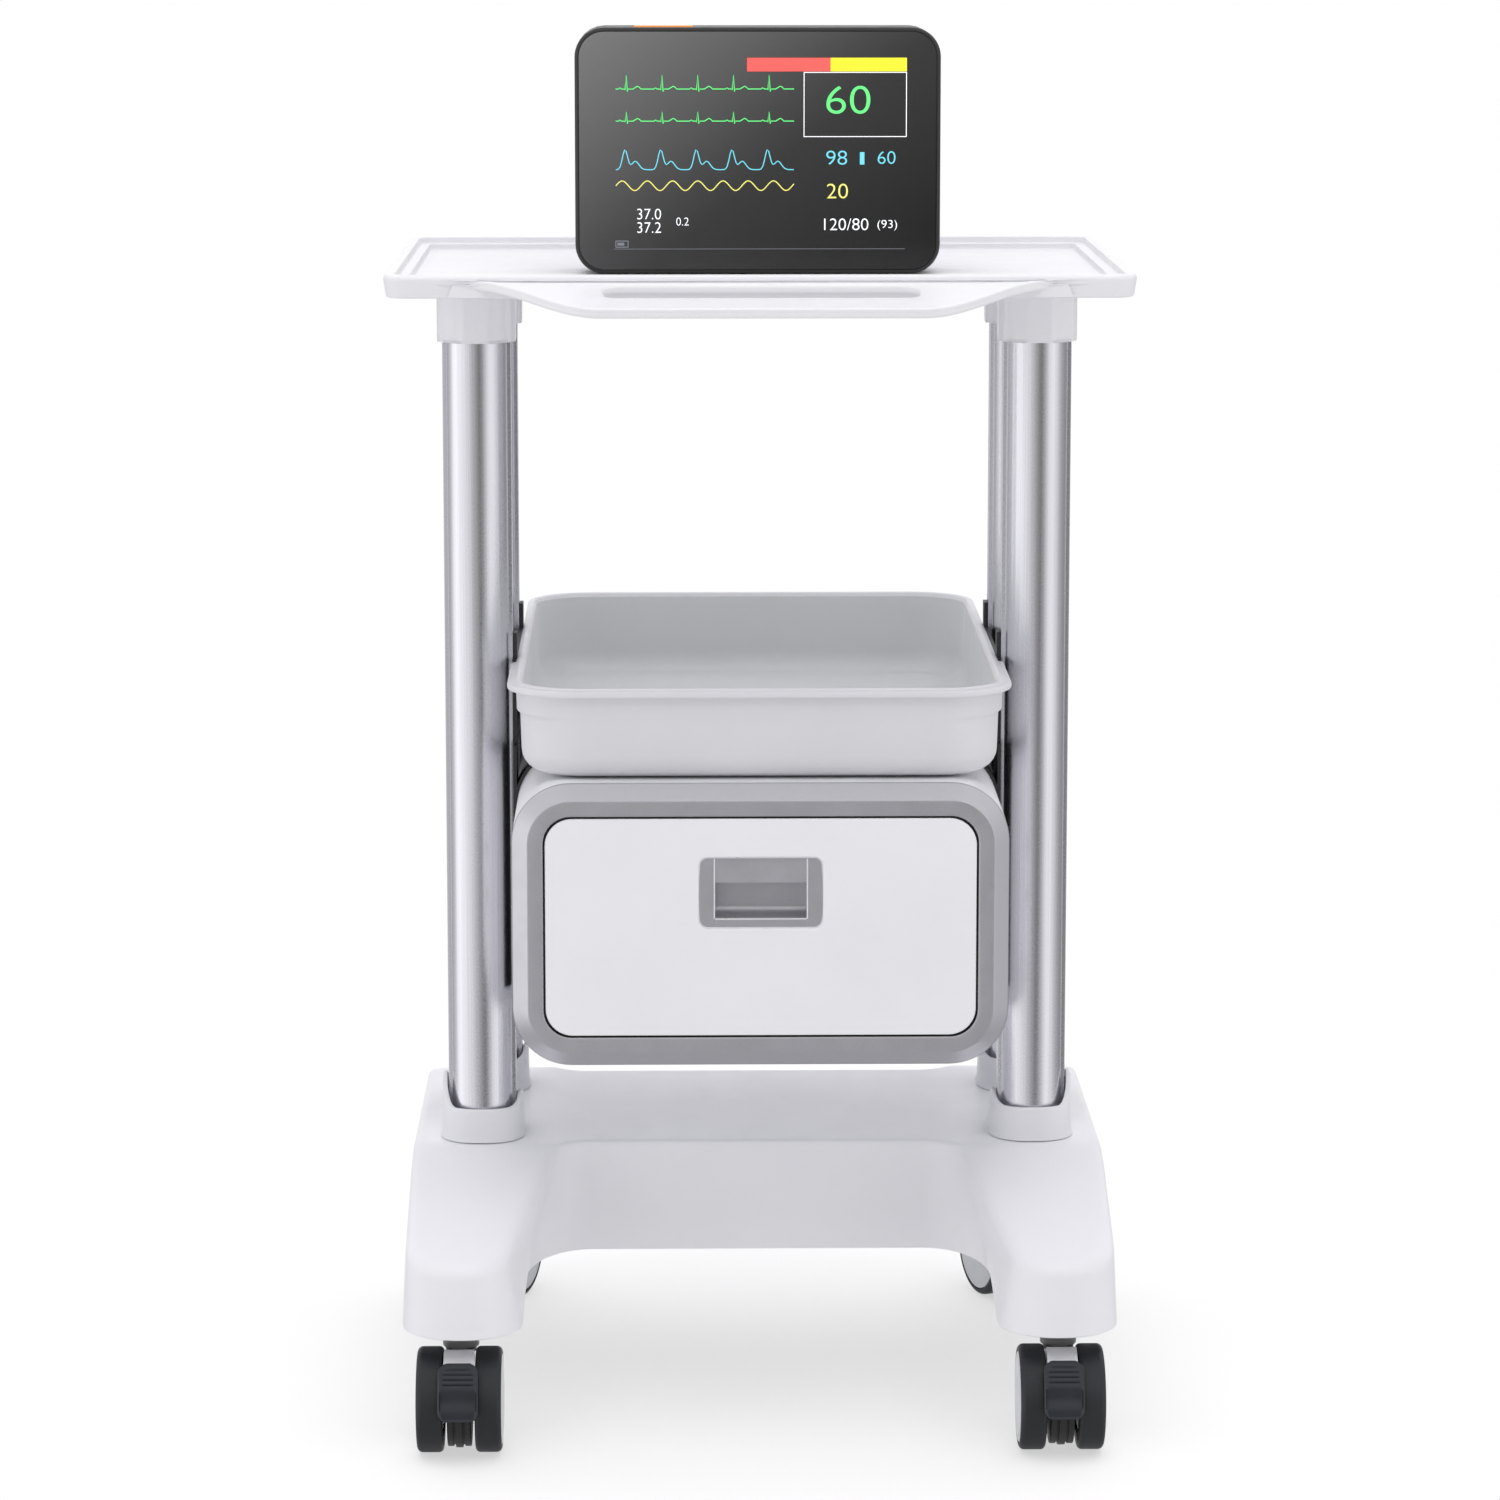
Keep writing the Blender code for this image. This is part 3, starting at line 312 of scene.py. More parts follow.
# ---------------------------------------------------------------- materials
class Nodes:
    """A small hand for wiring the nodes of a material or a world."""

    def __init__(self, owner):
        owner.use_nodes = True
        self.owner, self.tree = owner, owner.node_tree
        self.shader = self.tree.nodes.get("Principled BSDF")
        self.place = self.new("ShaderNodeTexCoord").outputs["Object"]

    def new(self, kind, **settings):
        node = self.tree.nodes.new(kind)
        for key, value in settings.items():
            setattr(node, key, value)
        return node

    def link(self, source, target):
        self.tree.links.new(source, target)

    def noise(self, scale, detail=2.0, stretch=None, rough=0.5):
        node = self.new("ShaderNodeTexNoise")
        node.inputs["Scale"].default_value = scale
        node.inputs["Detail"].default_value = detail
        node.inputs["Roughness"].default_value = rough
        source = self.place
        if stretch:
            mapping = self.new("ShaderNodeMapping")
            mapping.inputs["Scale"].default_value = stretch
            self.link(source, mapping.inputs["Vector"])
            source = mapping.outputs["Vector"]
        self.link(source, node.inputs["Vector"])
        return node.outputs["Fac"]

    def spread(self, source, low, high, start=0.3, end=0.7):
        node = self.new("ShaderNodeMapRange")
        self.link(source, node.inputs["Value"])
        for key, value in (("From Min", start), ("From Max", end),
                           ("To Min", low), ("To Max", high)):
            node.inputs[key].default_value = value
        return node.outputs["Result"]

    def ramp(self, source, stops, blue=1.0, interpolation="LINEAR"):
        """Grey levels along a ramp; 'blue' is the blue share of each."""
        node = self.new("ShaderNodeValToRGB")
        node.color_ramp.interpolation = interpolation
        elements = node.color_ramp.elements
        while len(elements) < len(stops):
            elements.new(0.5)
        for element, (place, level) in zip(elements, stops):
            element.position = place
            element.color = (level, level, level * blue, 1.0)
        self.link(source, node.inputs["Fac"])
        return node.outputs["Color"]

    def maths(self, operation, first, second):
        """The result of a Math node on two outputs or numbers."""
        node = self.new("ShaderNodeMath", operation=operation)
        for value, socket in zip((first, second), node.inputs):
            if isinstance(value, float):
                socket.default_value = value
            else:
                self.link(value, socket)
        return node.outputs["Value"]

    def blend(self, factor, first, second):
        node = self.new("ShaderNodeMix", data_type="RGBA")
        self.link(factor, node.inputs["Factor"])
        for index, value in ((6, first), (7, second)):
            if isinstance(value, tuple):
                node.inputs[index].default_value = value
            else:
                self.link(value, node.inputs[index])
        return node.outputs[2]

    def bump(self, source, strength, depth, before=None):
        node = self.new("ShaderNodeBump")
        node.inputs["Strength"].default_value = strength
        node.inputs["Distance"].default_value = depth
        self.link(source, node.inputs["Height"])
        if before:
            self.link(before, node.inputs["Normal"])
        return node.outputs["Normal"]

    def set(self, **values):
        for key, value in values.items():
            self.shader.inputs[key.replace("_", " ")].default_value = value


def new_material(name):
    return Nodes(bpy.data.materials.new(name))


def tone(level, tint=(1.0, 1.0, 1.0)):
    return (level * tint[0], level * tint[1], level * tint[2], 1.0)


def plastic(name, light, dark, gloss, grain_scale, grain, coat=0.0):
    """Moulded plastic: slow colour drift, fine moulded grain and uneven gloss."""
    nodes = new_material(name)
    drift = nodes.spread(nodes.noise(9.0, 3.0), 0.0, 1.0)
    colour = nodes.blend(drift, dark, light)
    fine = nodes.noise(grain_scale, 2.0)
    nodes.link(colour, nodes.shader.inputs["Base Color"])
    nodes.link(nodes.spread(nodes.noise(60.0, 3.0), gloss - 0.05, gloss + 0.06),
               nodes.shader.inputs["Roughness"])
    normal = nodes.bump(fine, grain, 0.00012)
    nodes.link(nodes.bump(nodes.noise(22.0, 1.0), 0.04, 0.0012, normal),
               nodes.shader.inputs["Normal"])
    nodes.set(Coat_Weight=coat, Coat_Roughness=0.18)
    return nodes.owner


def painted(name, light, dark, gloss, metal, grain_scale, grain, flake):
    """Metallic lacquer: fine flake in its tone and gloss."""
    nodes = new_material(name)
    drift = nodes.spread(nodes.noise(grain_scale, 2.0), 0.5 - flake, 0.5 + flake)
    nodes.link(nodes.blend(drift, dark, light), nodes.shader.inputs["Base Color"])
    nodes.link(nodes.spread(nodes.noise(80.0, 3.0), gloss - 0.04, gloss + 0.05),
               nodes.shader.inputs["Roughness"])
    nodes.link(nodes.bump(nodes.noise(grain_scale * 0.8, 2.0), grain, 0.0001),
               nodes.shader.inputs["Normal"])
    nodes.set(Metallic=metal)
    return nodes.owner


def extruded(name, light, dark, gloss):
    """Anodised extrusion: faint die lines along Z and fine matt grain."""
    nodes = new_material(name)
    lines = nodes.noise(1.0, 2.0, stretch=(1500.0, 1500.0, 4.0))
    grain = nodes.noise(2600.0, 1.0)
    nodes.link(nodes.blend(nodes.spread(lines, 0.0, 1.0), dark, light),
               nodes.shader.inputs["Base Color"])
    nodes.link(nodes.spread(grain, gloss - 0.05, gloss + 0.05), nodes.shader.inputs["Roughness"])
    normal = nodes.bump(lines, 0.10, 0.00008)
    nodes.link(nodes.bump(grain, 0.15, 0.00006, normal), nodes.shader.inputs["Normal"])
    nodes.set(Metallic=1.0)
    return nodes.owner


def glow(name, colour, strength):
    nodes = new_material(name)
    flicker = nodes.spread(nodes.noise(4000.0, 1.0), 0.88, 1.0)
    shade = nodes.blend(flicker, tuple(0.8 * value for value in colour[:3]) + (1.0,), colour)
    nodes.link(shade, nodes.shader.inputs["Emission Color"])
    nodes.link(shade, nodes.shader.inputs["Base Color"])
    nodes.set(Emission_Strength=strength, Roughness=0.4)
    return nodes.owner


def display(name):
    """Dark glossy front, its colour painted a little lighter towards its upper left: a painted
    reflection of the light from there.
    """
    nodes = new_material(name)
    parts = nodes.new("ShaderNodeSeparateXYZ")
    nodes.link(nodes.place, parts.inputs["Vector"])
    # Painted sheen: the colour ramps from near black at the lower right to dark grey at the upper
    # left, standing in for reflected light.
    across = nodes.spread(parts.outputs["X"], 0.55, 0.0, FACE_LOW.x, FACE_HIGH.x)
    height = nodes.spread(parts.outputs["Z"], 0.0, 0.45, FACE_LOW.z, FACE_HIGH.z)
    levels = ((0.0, 0.008), (0.45, 0.040), (0.55, 0.062), (1.0, 0.200))
    colour = nodes.ramp(nodes.maths("ADD", across, height), levels)
    nodes.link(colour, nodes.shader.inputs["Base Color"])
    nodes.link(nodes.spread(nodes.noise(35.0, 3.0), 0.16, 0.22), nodes.shader.inputs["Roughness"])
    nodes.link(nodes.bump(nodes.noise(500.0, 2.0), 0.02, 0.0001), nodes.shader.inputs["Normal"])
    nodes.set(IOR=1.45)
    return nodes.owner


COOL = (0.962, 0.962, 1.0)
WHITE = plastic("white_abs", tone(0.85, COOL), tone(0.82, COOL), 0.36, 1800.0, 0.20)
WHITE_SMOOTH = plastic("white_smooth", tone(0.80, COOL), tone(0.78, COOL), 0.40, 1500.0, 0.04)
WHITE_DRAWER = plastic("white_drawer", tone(0.80, COOL), tone(0.78, COOL), 0.45, 2200.0, 0.30)
WHITE_TRAY = plastic("white_tray", tone(0.72, COOL), tone(0.69, COOL), 0.34, 1800.0, 0.12)
# Painted light: a second copy of the tray plastic for the basin's inner faces, its tone set for how
# light falls inside the basin (a little lighter than the outside).
TRAY_INSIDE_PAINTED_LIGHT = plastic("tray_inside_painted_light", tone(0.74, (0.98, 0.99, 1.0)), tone(0.70, (0.98, 0.99, 1.0)),
                      0.40, 1800.0, 0.20)
SILVER = painted("silver_paint", (0.63, 0.625, 0.665, 1.0), (0.51, 0.505, 0.535, 1.0), 0.38, 0.80,
                 3000.0, 0.25, 0.35)
ALUMINIUM = extruded("aluminium_posts", (0.78, 0.775, 0.82, 1.0), (0.68, 0.675, 0.72, 1.0), 0.28)
STEEL = painted("steel_zinc", (0.55, 0.55, 0.56, 1.0), (0.40, 0.40, 0.41, 1.0), 0.32, 1.0, 900.0,
                0.12, 0.3)
STEEL_FRAME = painted("steel_frame", (0.10, 0.10, 0.105, 1.0), (0.07, 0.07, 0.075, 1.0), 0.50, 0.3,
                      1500.0, 0.25, 0.3)
BLACK = painted("black_metal", (0.030, 0.030, 0.032, 1.0), (0.018, 0.018, 0.019, 1.0), 0.46, 0.0,
                1400.0, 0.30, 0.4)
RUBBER = plastic("tyre_rubber", tone(0.019, (0.9, 0.98, 1.2)), tone(0.014, (0.9, 0.98, 1.2)), 0.50,
                 1500.0, 0.30)
PEDAL = plastic("pedal_plastic", (0.017, 0.021, 0.028, 1.0), (0.013, 0.016, 0.022, 1.0), 0.40,
                1900.0, 0.30)
FORK_BLACK = plastic("fork_black", tone(0.020), tone(0.013), 0.42, 1700.0, 0.25)
HEAD_GREY = plastic("swivel_grey", tone(0.085), tone(0.065), 0.40, 1500.0, 0.25)
SWIVEL_GREY = plastic("swivel_housing", tone(0.32), tone(0.27), 0.40, 1500.0, 0.25)
PLATE_SILVER = painted("plate_silver", (0.95, 0.95, 0.97, 1.0), (0.88, 0.88, 0.90, 1.0), 0.32, 0.10,
                       3000.0, 0.15, 0.25)
# Painted highlight: a brighter finish for thin strips on the pull's edges, standing in for lit
# edges.
PULL_PAINTED_HIGHLIGHT = painted("painted_highlight_finish", (0.92, 0.92, 0.95, 1.0), (0.84, 0.84, 0.87, 1.0), 0.30, 0.35,
                      3000.0, 0.10, 0.25)
HUB_GREY = plastic("hub_grey", (0.62, 0.63, 0.65, 1.0), (0.56, 0.57, 0.59, 1.0), 0.36, 2000.0, 0.2)
CASE = plastic("case_plastic", tone(0.020), tone(0.014), 0.38, 1800.0, 0.35)
LAMP = plastic("lamp_amber", (0.90, 0.33, 0.05, 1.0), (0.80, 0.26, 0.035, 1.0), 0.25, 1200.0, 0.1,
               coat=0.5)
# The display's material carries a painted sheen, lighter towards the upper left.
DISPLAY_PAINTED_SHEEN = display("display_front_painted_sheen")
# Black for strips set into the gaps round the drawer: painted shade.
GAP_PAINTED_SHADE = plastic("gap_painted_shade", tone(0.012), tone(0.008), 0.55, 1500.0, 0.2)

NODE_FINISHES = (
    ("base_frame", STEEL_FRAME), ("tray_bracket", BLACK), ("box_bracket", BLACK),
    ("drawer_tub", WHITE_DRAWER), ("slide_", STEEL), ("monitor_case", CASE),
    ("alarm_lamp", LAMP), ("monitor_dock", CASE), ("power_key", HEAD_GREY), ("caster_stem", STEEL),
    ("caster_axle", STEEL),
)


def finish_nodes():
    """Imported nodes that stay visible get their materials."""
    for name, node in NODES.items():
        for start, finish in NODE_FINISHES:
            if name.startswith(start):
                for entry in node.material_slots:
                    entry.material = finish
                break


# ---------------------------------------------------------------- base
def ramped(value, start, span):
    """0 below start, 1 beyond start + span, and straight between."""
    return min(max((value - start) / span, 0.0), 1.0)


def platform_height(y):
    """Top of the base: flat between the creases, then sloping down along the legs."""
    height = BASE_TOP
    for beyond in (CREASE_FRONT - y, y - CREASE_REAR):
        height -= LEG_SLOPE * 0.5 * (beyond + math.sqrt(beyond * beyond + 0.006 ** 2))
    return height


def leg_corners(apron, root, toe, outer, nose):
    """Corners of a quarter: along the apron, out along the leg's inner side, and back outside."""
    return [(0.0, apron), (root, apron), (toe, nose), (outer, nose), (outer, 0.0)]


def base_ring(front, front_radii, rear, rear_radii):
    """Closed H-shaped outline from its two right quarters, given as (x, distance from middle)."""
    ahead = filleted_path(front, front_radii, 12, 8)
    behind = filleted_path(rear, rear_radii, 12, 8)
    right = [(x, BASE_MID_Y - d) for x, d in ahead]
    right += [(x, BASE_MID_Y + d) for x, d in reversed(behind)][1:]
    return mirrored(right)


def base_bottom(x, y):
    """Lower edge: the aprons are higher than the legs, and the legs' inner sides rise to them."""
    ahead = BASE_MID_Y - y
    rise = ramped(-ahead, -0.2475, 0.125) if ahead > 0 else ramped(ahead, -0.190, 0.0675)
    return LEG_BOTTOM + rise * (APRON_BOTTOM - LEG_BOTTOM) * ramped(-abs(x), -0.215, 0.025)


def base_rounding(x, y):
    """Radius of the top edge: small on the aprons, larger on the legs."""
    reach = abs(BASE_MID_Y - y)
    if abs(x) > 0.24:
        return 0.007 + 0.0015 * ramped(reach, 0.15, 0.08)
    return 0.0035 + 0.005 * ramped(reach, 0.1165, 0.03)


def inside(point, loop):
    """Whether the point lies in the loop, by counting crossings."""
    within = False
    for index, (x, y) in enumerate(loop):
        before = loop[index - 1]
        if (y > point[1]) != (before[1] > point[1]):
            cross = x + (point[1] - y) / (before[1] - y) * (before[0] - x)
            if point[0] < cross:
                within = not within
    return within


def filled(name, loop, height, spacing, margin):
    """Triangles over the loop with an inner grid; height(x, y) gives their Z."""
    edges = inset(loop, margin)
    points = [Vector(point) for point in loop]
    low_x, high_x = min(p[0] for p in loop), max(p[0] for p in loop)
    low_y, high_y = min(p[1] for p in loop), max(p[1] for p in loop)
    for row in range(int((high_y - low_y) / spacing) + 1):
        for column in range(int((high_x - low_x) / spacing) + 1):
            spot = (low_x + spacing * column, low_y + spacing * row)
            if inside(spot, edges):
                points.append(Vector(spot))
    flat, _, faces, _, _, _ = delaunay_2d_cdt(points, [], [list(range(len(loop)))], 1, 1e-7)
    return from_lists(name, [(x, y, height(x, y)) for x, y in flat], faces)


def make_base():
    low = base_ring(leg_corners(0.1225, 0.178, 0.178, 0.269, 0.2790), [0.050, 0.043, 0.043],
                    leg_corners(0.1225, 0.178, 0.178, 0.269, 0.1995), [0.034, 0.040, 0.040])
    top = base_ring(leg_corners(0.1155, 0.152, 0.194, 0.266, 0.2755), [0.034, 0.034, 0.036],
                    leg_corners(0.1155, 0.152, 0.184, 0.266, 0.1960), [0.026, 0.032, 0.034])
    normals = inward(top)
    rings = []
    foot = 0.0014
    for drop, shift in ((0.0, 0.6), (0.35, 0.12), (1.0, 0.0)):
        rings.append([(x + n[0] * foot * shift, y + n[1] * foot * shift,
                       base_bottom(x, y) + foot * drop)
                      for (x, y), n in zip(low, inward(low))])
    for share in (0.25, 0.5, 0.75, 1.0):
        ring = []
        for (x0, y0), (x1, y1) in zip(low, top):
            wall_top = platform_height(y1) - base_rounding(x1, y1)
            wall_low = base_bottom(x0, y0) + foot
            ring.append((x0 + (x1 - x0) * share, y0 + (y1 - y0) * share,
                         wall_low + (wall_top - wall_low) * share))
        rings.append(ring)
    for step in range(1, 8):
        angle = math.pi / 2 * step / 7
        ring = []
        for (x, y), n in zip(top, normals):
            radius = base_rounding(x, y)
            shift = radius * (1 - math.cos(angle))
            u, v = x + n[0] * shift, y + n[1] * shift
            ring.append((u, v, platform_height(v) - radius * (1 - math.sin(angle))))
        rings.append(ring)
    wall = loft("base_wall", rings)
    rim = [(x, y) for x, y, _ in rings[-1]]
    deck = filled("base_deck", rim, lambda x, y: platform_height(y), 0.008, 0.005)
    skin = clean(joined("base_moulding", wall, deck), weld=5e-6)
    upward = sum(p.normal.z * p.area for p in skin.polygons if p.center.z > BASE_TOP - 0.01)
    if upward < 0:
        skin.flip_normals()
    shell = thickened(skin, 0.004)
    piece("base_moulding", shell, "cart", WHITE, ["base_shell"], 40.0)
    bosses = []
    for x, y, _ in CASTERS.values():
        bosses.append(turned("boss", [(0.0085, 0.1205), (0.0085, 0.0935), (0.0105, 0.093),
                                      (0.0190, 0.093), (0.0200, 0.094), (0.0200, 0.1205)],
                             centre=(x, y), closed=True))
        for side in (-1, 1):
            bosses.append(slab("rib", [rounded(x + side * 0.028 - 0.0085, x + side * 0.028 + 0.0085,
                                               y - 0.0015, y + 0.0015, 0.0012, 2)],
                               0.0945, 0.1205, edge=0.0006, steps=1))
    piece("caster_bosses", joined("caster_bosses", *bosses), "cart", WHITE)


# ---------------------------------------------------------------- posts and collars
def post_section():
    """Extrusion outline: two round faces, and a T-slot between small flanges on each side."""
    slot = [(0.0260, -0.0080), (0.0260, -0.0032), (0.0212, -0.0032), (0.0212, -0.0064),
            (0.0168, -0.0064), (0.0168, 0.0064), (0.0212, 0.0064), (0.0212, 0.0032),
            (0.0260, 0.0032), (0.0260, 0.0080)]
    right = arc((0.0, -0.007), 0.0232, -90, -3, 20)
    right += filleted([(0.0236, -0.0080)] + slot + [(0.0236, 0.0080)], 0.0004, 2)[3:-3]
    right += arc((0.0, 0.007), 0.0232, 3, 90, 20)
    return mirrored(right)


def make_posts():
    for corner, (x, y) in CORNERS.items():
        section = [(x + u, y + v) for u, v in post_section()]
        rings = [at(section, z) for z in (BASE_TOP + 0.0006, 0.34, 0.48, 0.62, 0.76, POST_TOP)]
        mesh = loft("post", rings, True, True)
        piece("post_extrusion_" + corner, mesh, "cart", ALUMINIUM,
              ["post_" + corner], 28.0)


COLLAR_X, COLLAR_Y, COLLAR_CORNER = 0.0263, 0.0303, 0.0215


def collar_ring(x, y, grow, level):
    """Round-cornered ring about a post, with its long sides cut into twelve parts."""
    outline = []
    for spot in rounded(x - COLLAR_X - grow, x + COLLAR_X + grow, y - COLLAR_Y - grow,
                        y + COLLAR_Y + grow, COLLAR_CORNER + grow, 10):
        outline.append(spot)
        if abs(abs(spot[0] - x) - COLLAR_X - grow) < 1e-6 and len(outline) > 1:
            before = outline[-2]
            if abs(before[0] - spot[0]) < 1e-6 and abs(before[1] - spot[1]) > 0.01:
                outline[-1:] = [(spot[0], before[1] + (spot[1] - before[1]) * k / 12)
                                for k in range(1, 13)]
    return [(u, v, level(u, v)) for u, v in outline]


def make_foot_collars():
    """Collars whose rims are low in front and behind, and rise along the post's sides."""
    low = BASE_TOP + 0.0003
    for corner, (x, y) in CORNERS.items():

        def rim(u, v, drop=0.0):
            share = 1 - ramped(abs(v - y), 0.004, 0.022)
            side = 0.022 if (u - x) * x > 0 else 0.007
            return low + 0.0258 + side * share * share * (3 - 2 * share) - drop

        rings = []
        for grow, height in ((0.0062, 0.0), (0.0059, 0.0012), (0.0053, 0.0032), (0.0050, 0.0070)):
            rings.append(collar_ring(x, y, grow, lambda u, v, h=height: low + h))
        for grow, drop in ((0.0046, 0.0022), (0.0043, 0.0008), (0.0036, 0.0001), (0.0018, 0.0),
                           (0.0010, 0.0004), (0.0006, 0.0014), (0.0005, 0.0060)):
            rings.append(collar_ring(x, y, grow, lambda u, v, d=drop: rim(u, v, d)))
        rings.append(collar_ring(x, y, 0.0005, lambda u, v: low))
        mesh = loft("foot_collar", rings, closed=True)
        piece("foot_collar_" + corner, mesh, "cart", WHITE_SMOOTH,
              ["post_collar_bottom_" + corner], 40.0)


HEAD_X = 0.0289
HEAD_LOW, HEAD_TOP = 0.8235, POST_TOP + 0.0003


def make_head_collars():
    """Collars under the shelf: eight-sided, with a small cheek on each side and a lip below."""
    plan = [(0.0090, -0.0330), (0.0266, -0.0200), (HEAD_X, -0.0125), (HEAD_X, 0.0125),
            (0.0266, 0.0200), (0.0090, 0.0330)]
    plan += [(-u, v) for u, v in reversed(plan)]
    for corner, (x, y) in CORNERS.items():
        outline = filleted([(x + u, y + v) for u, v in plan], 0.0028, 4)
        hole = rounded(x - 0.0262, x + 0.0262, y - COLLAR_Y, y + COLLAR_Y, 0.0180, 8)
        parts = [slab("head_collar", [outline, hole], HEAD_LOW, HEAD_TOP, edge=0.0008, steps=3)]
        lip_outline = filleted([(x + u * 0.965, y + v * 0.965) for u, v in plan], 0.003, 4)
        lip_hole = rounded(x - 0.0258, x + 0.0258, y - 0.0298, y + 0.0298, 0.0196, 8)
        parts.append(slab("lip", [lip_outline, lip_hole], HEAD_LOW - 0.0015, HEAD_LOW + 0.0005,
                          edge=0.0006, steps=2))
        cheek = filleted([(y - 0.0118, 0.8215), (y + 0.0118, 0.8215), (y + 0.0118, 0.8640),
                          (y - 0.0118, 0.8640)], [0.005, 0.005, 0.001, 0.001], 4)
        for _, side in SIDES:
            low, high = sorted((x + side * (HEAD_X - 0.0022), x + side * (HEAD_X + 0.0008)))
            parts.append(slab("cheek", [cheek], low, high, "X", 0.0006, 2))
        piece("head_collar_" + corner, joined("head_collar", *parts), "cart",
              WHITE_SMOOTH, ["post_collar_top_" + corner], 30.0)


# ---------------------------------------------------------------- top shelf and handle
def shelf_outline(inwards):
    radius = max(0.019 - inwards, 0.004)
    return rounded(SHELF_LOW.x + inwards, SHELF_HIGH.x - inwards, SHELF_LOW.y + inwards,
                   SHELF_HIGH.y - inwards, radius, 12)


def make_shelf():
    top, low = SHELF_HIGH.z, SHELF_LOW.z
    steps = [(0.0100, low + 0.0035), (0.0096, low + 0.0006), (0.0088, low), (0.0036, low),
             (0.0024, low + 0.0005), (0.0018, low + 0.0016)]
    steps += [(0.0000, top - 0.0042), (0.0002, top - 0.0024), (0.0010, top - 0.0008),
              (0.0024, top), (SHELF_RIM - 0.0012, top), (SHELF_RIM - 0.0004, top - 0.0003),
              (SHELF_RIM, top - 0.0012), (SHELF_RIM + 0.0006, top - 0.0040),
              (SHELF_RIM + 0.0012, top - 0.0046), (SHELF_RIM + 0.0070, top - 0.0048),
              (SHELF_RIM + 0.0078, top - 0.0052), (SHELF_RIM + 0.0084, SHELF_DECK + 0.0012),
              (SHELF_RIM + 0.0094, SHELF_DECK + 0.0002), (SHELF_RIM + 0.0110, SHELF_DECK)]
    rings = [at(shelf_outline(shift), level) for shift, level in steps]
    mesh = loft("top_shelf_moulding", rings, True, True)
    piece("top_shelf_moulding", mesh, "cart", WHITE_SMOOTH, ["top_shelf"], 35.0)


def make_handle():
    """A flat moulding that slopes down to its front edge, with a long slot to hold it by."""
    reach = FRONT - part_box("shelf_handle")[0].y
    slope = math.tan(math.radians(11.0))

    def outline(wide, growth, root, length):
        """Half widths run from wide - growth at the front edge to wide at the shelf."""
        steps = 24
        right = []
        for index in range(steps + 1):
            share = 1 - index / steps
            ease = (1 - math.cos(math.pi * share)) / 2
            right.append((wide - growth * share, FRONT - root - length * ease))
        return mirrored([(0.0, right[0][1])] + right)

    def sloping(mesh):
        for vertex in mesh.vertices:
            vertex.co.z += slope * (vertex.co.y - FRONT)
        return mesh

    edge = outline(0.215, 0.100, 0.0002, reach - 0.0002)
    border = outline(0.2075, 0.0975, 0.0006, reach - 0.0062)
    slot = rounded(-0.114, 0.114, FRONT - 0.0420, FRONT - 0.0085, 0.0120, 8)
    plate = sloping(slab("grab_handle", [edge, slot], 0.8731, 0.8793, edge=0.0024, steps=5))
    rim = sloping(slab("handle_rim", [edge, border], 0.8770, 0.8806, edge=0.0012, steps=4))
    root = filleted([(-0.2275, 0.8678), (0.2275, 0.8678), (0.2238, 0.8772), (-0.2238, 0.8772)],
                    0.0008, 3)
    backing = slab("root_plate", [root], FRONT - 0.0006, FRONT + 0.0010, "Y", 0.0004, 2)
    piece("grab_handle", joined("grab_handle", plate, rim, backing), "cart",
          WHITE_SMOOTH, ["shelf_handle"], 40.0)


# ---------------------------------------------------------------- tray
TRAY_HALF, TRAY_FRONT, TRAY_BACK = 0.1810, TRAY_LOW.y + 0.006, TRAY_HIGH.y - 0.0025
TRAY_STEP = 0.0022                # how far the side walls draw in below their upper band


def tray_ring(inwards, level, radius=0.048, sides=0.0):
    """Outline of the tray at a level; 'sides' draws in the left and right walls alone."""
    half = TRAY_HALF - inwards - sides
    return at(rounded(-half, half, TRAY_FRONT + inwards, TRAY_BACK - inwards,
                      max(radius - inwards, 0.012), 14), level)


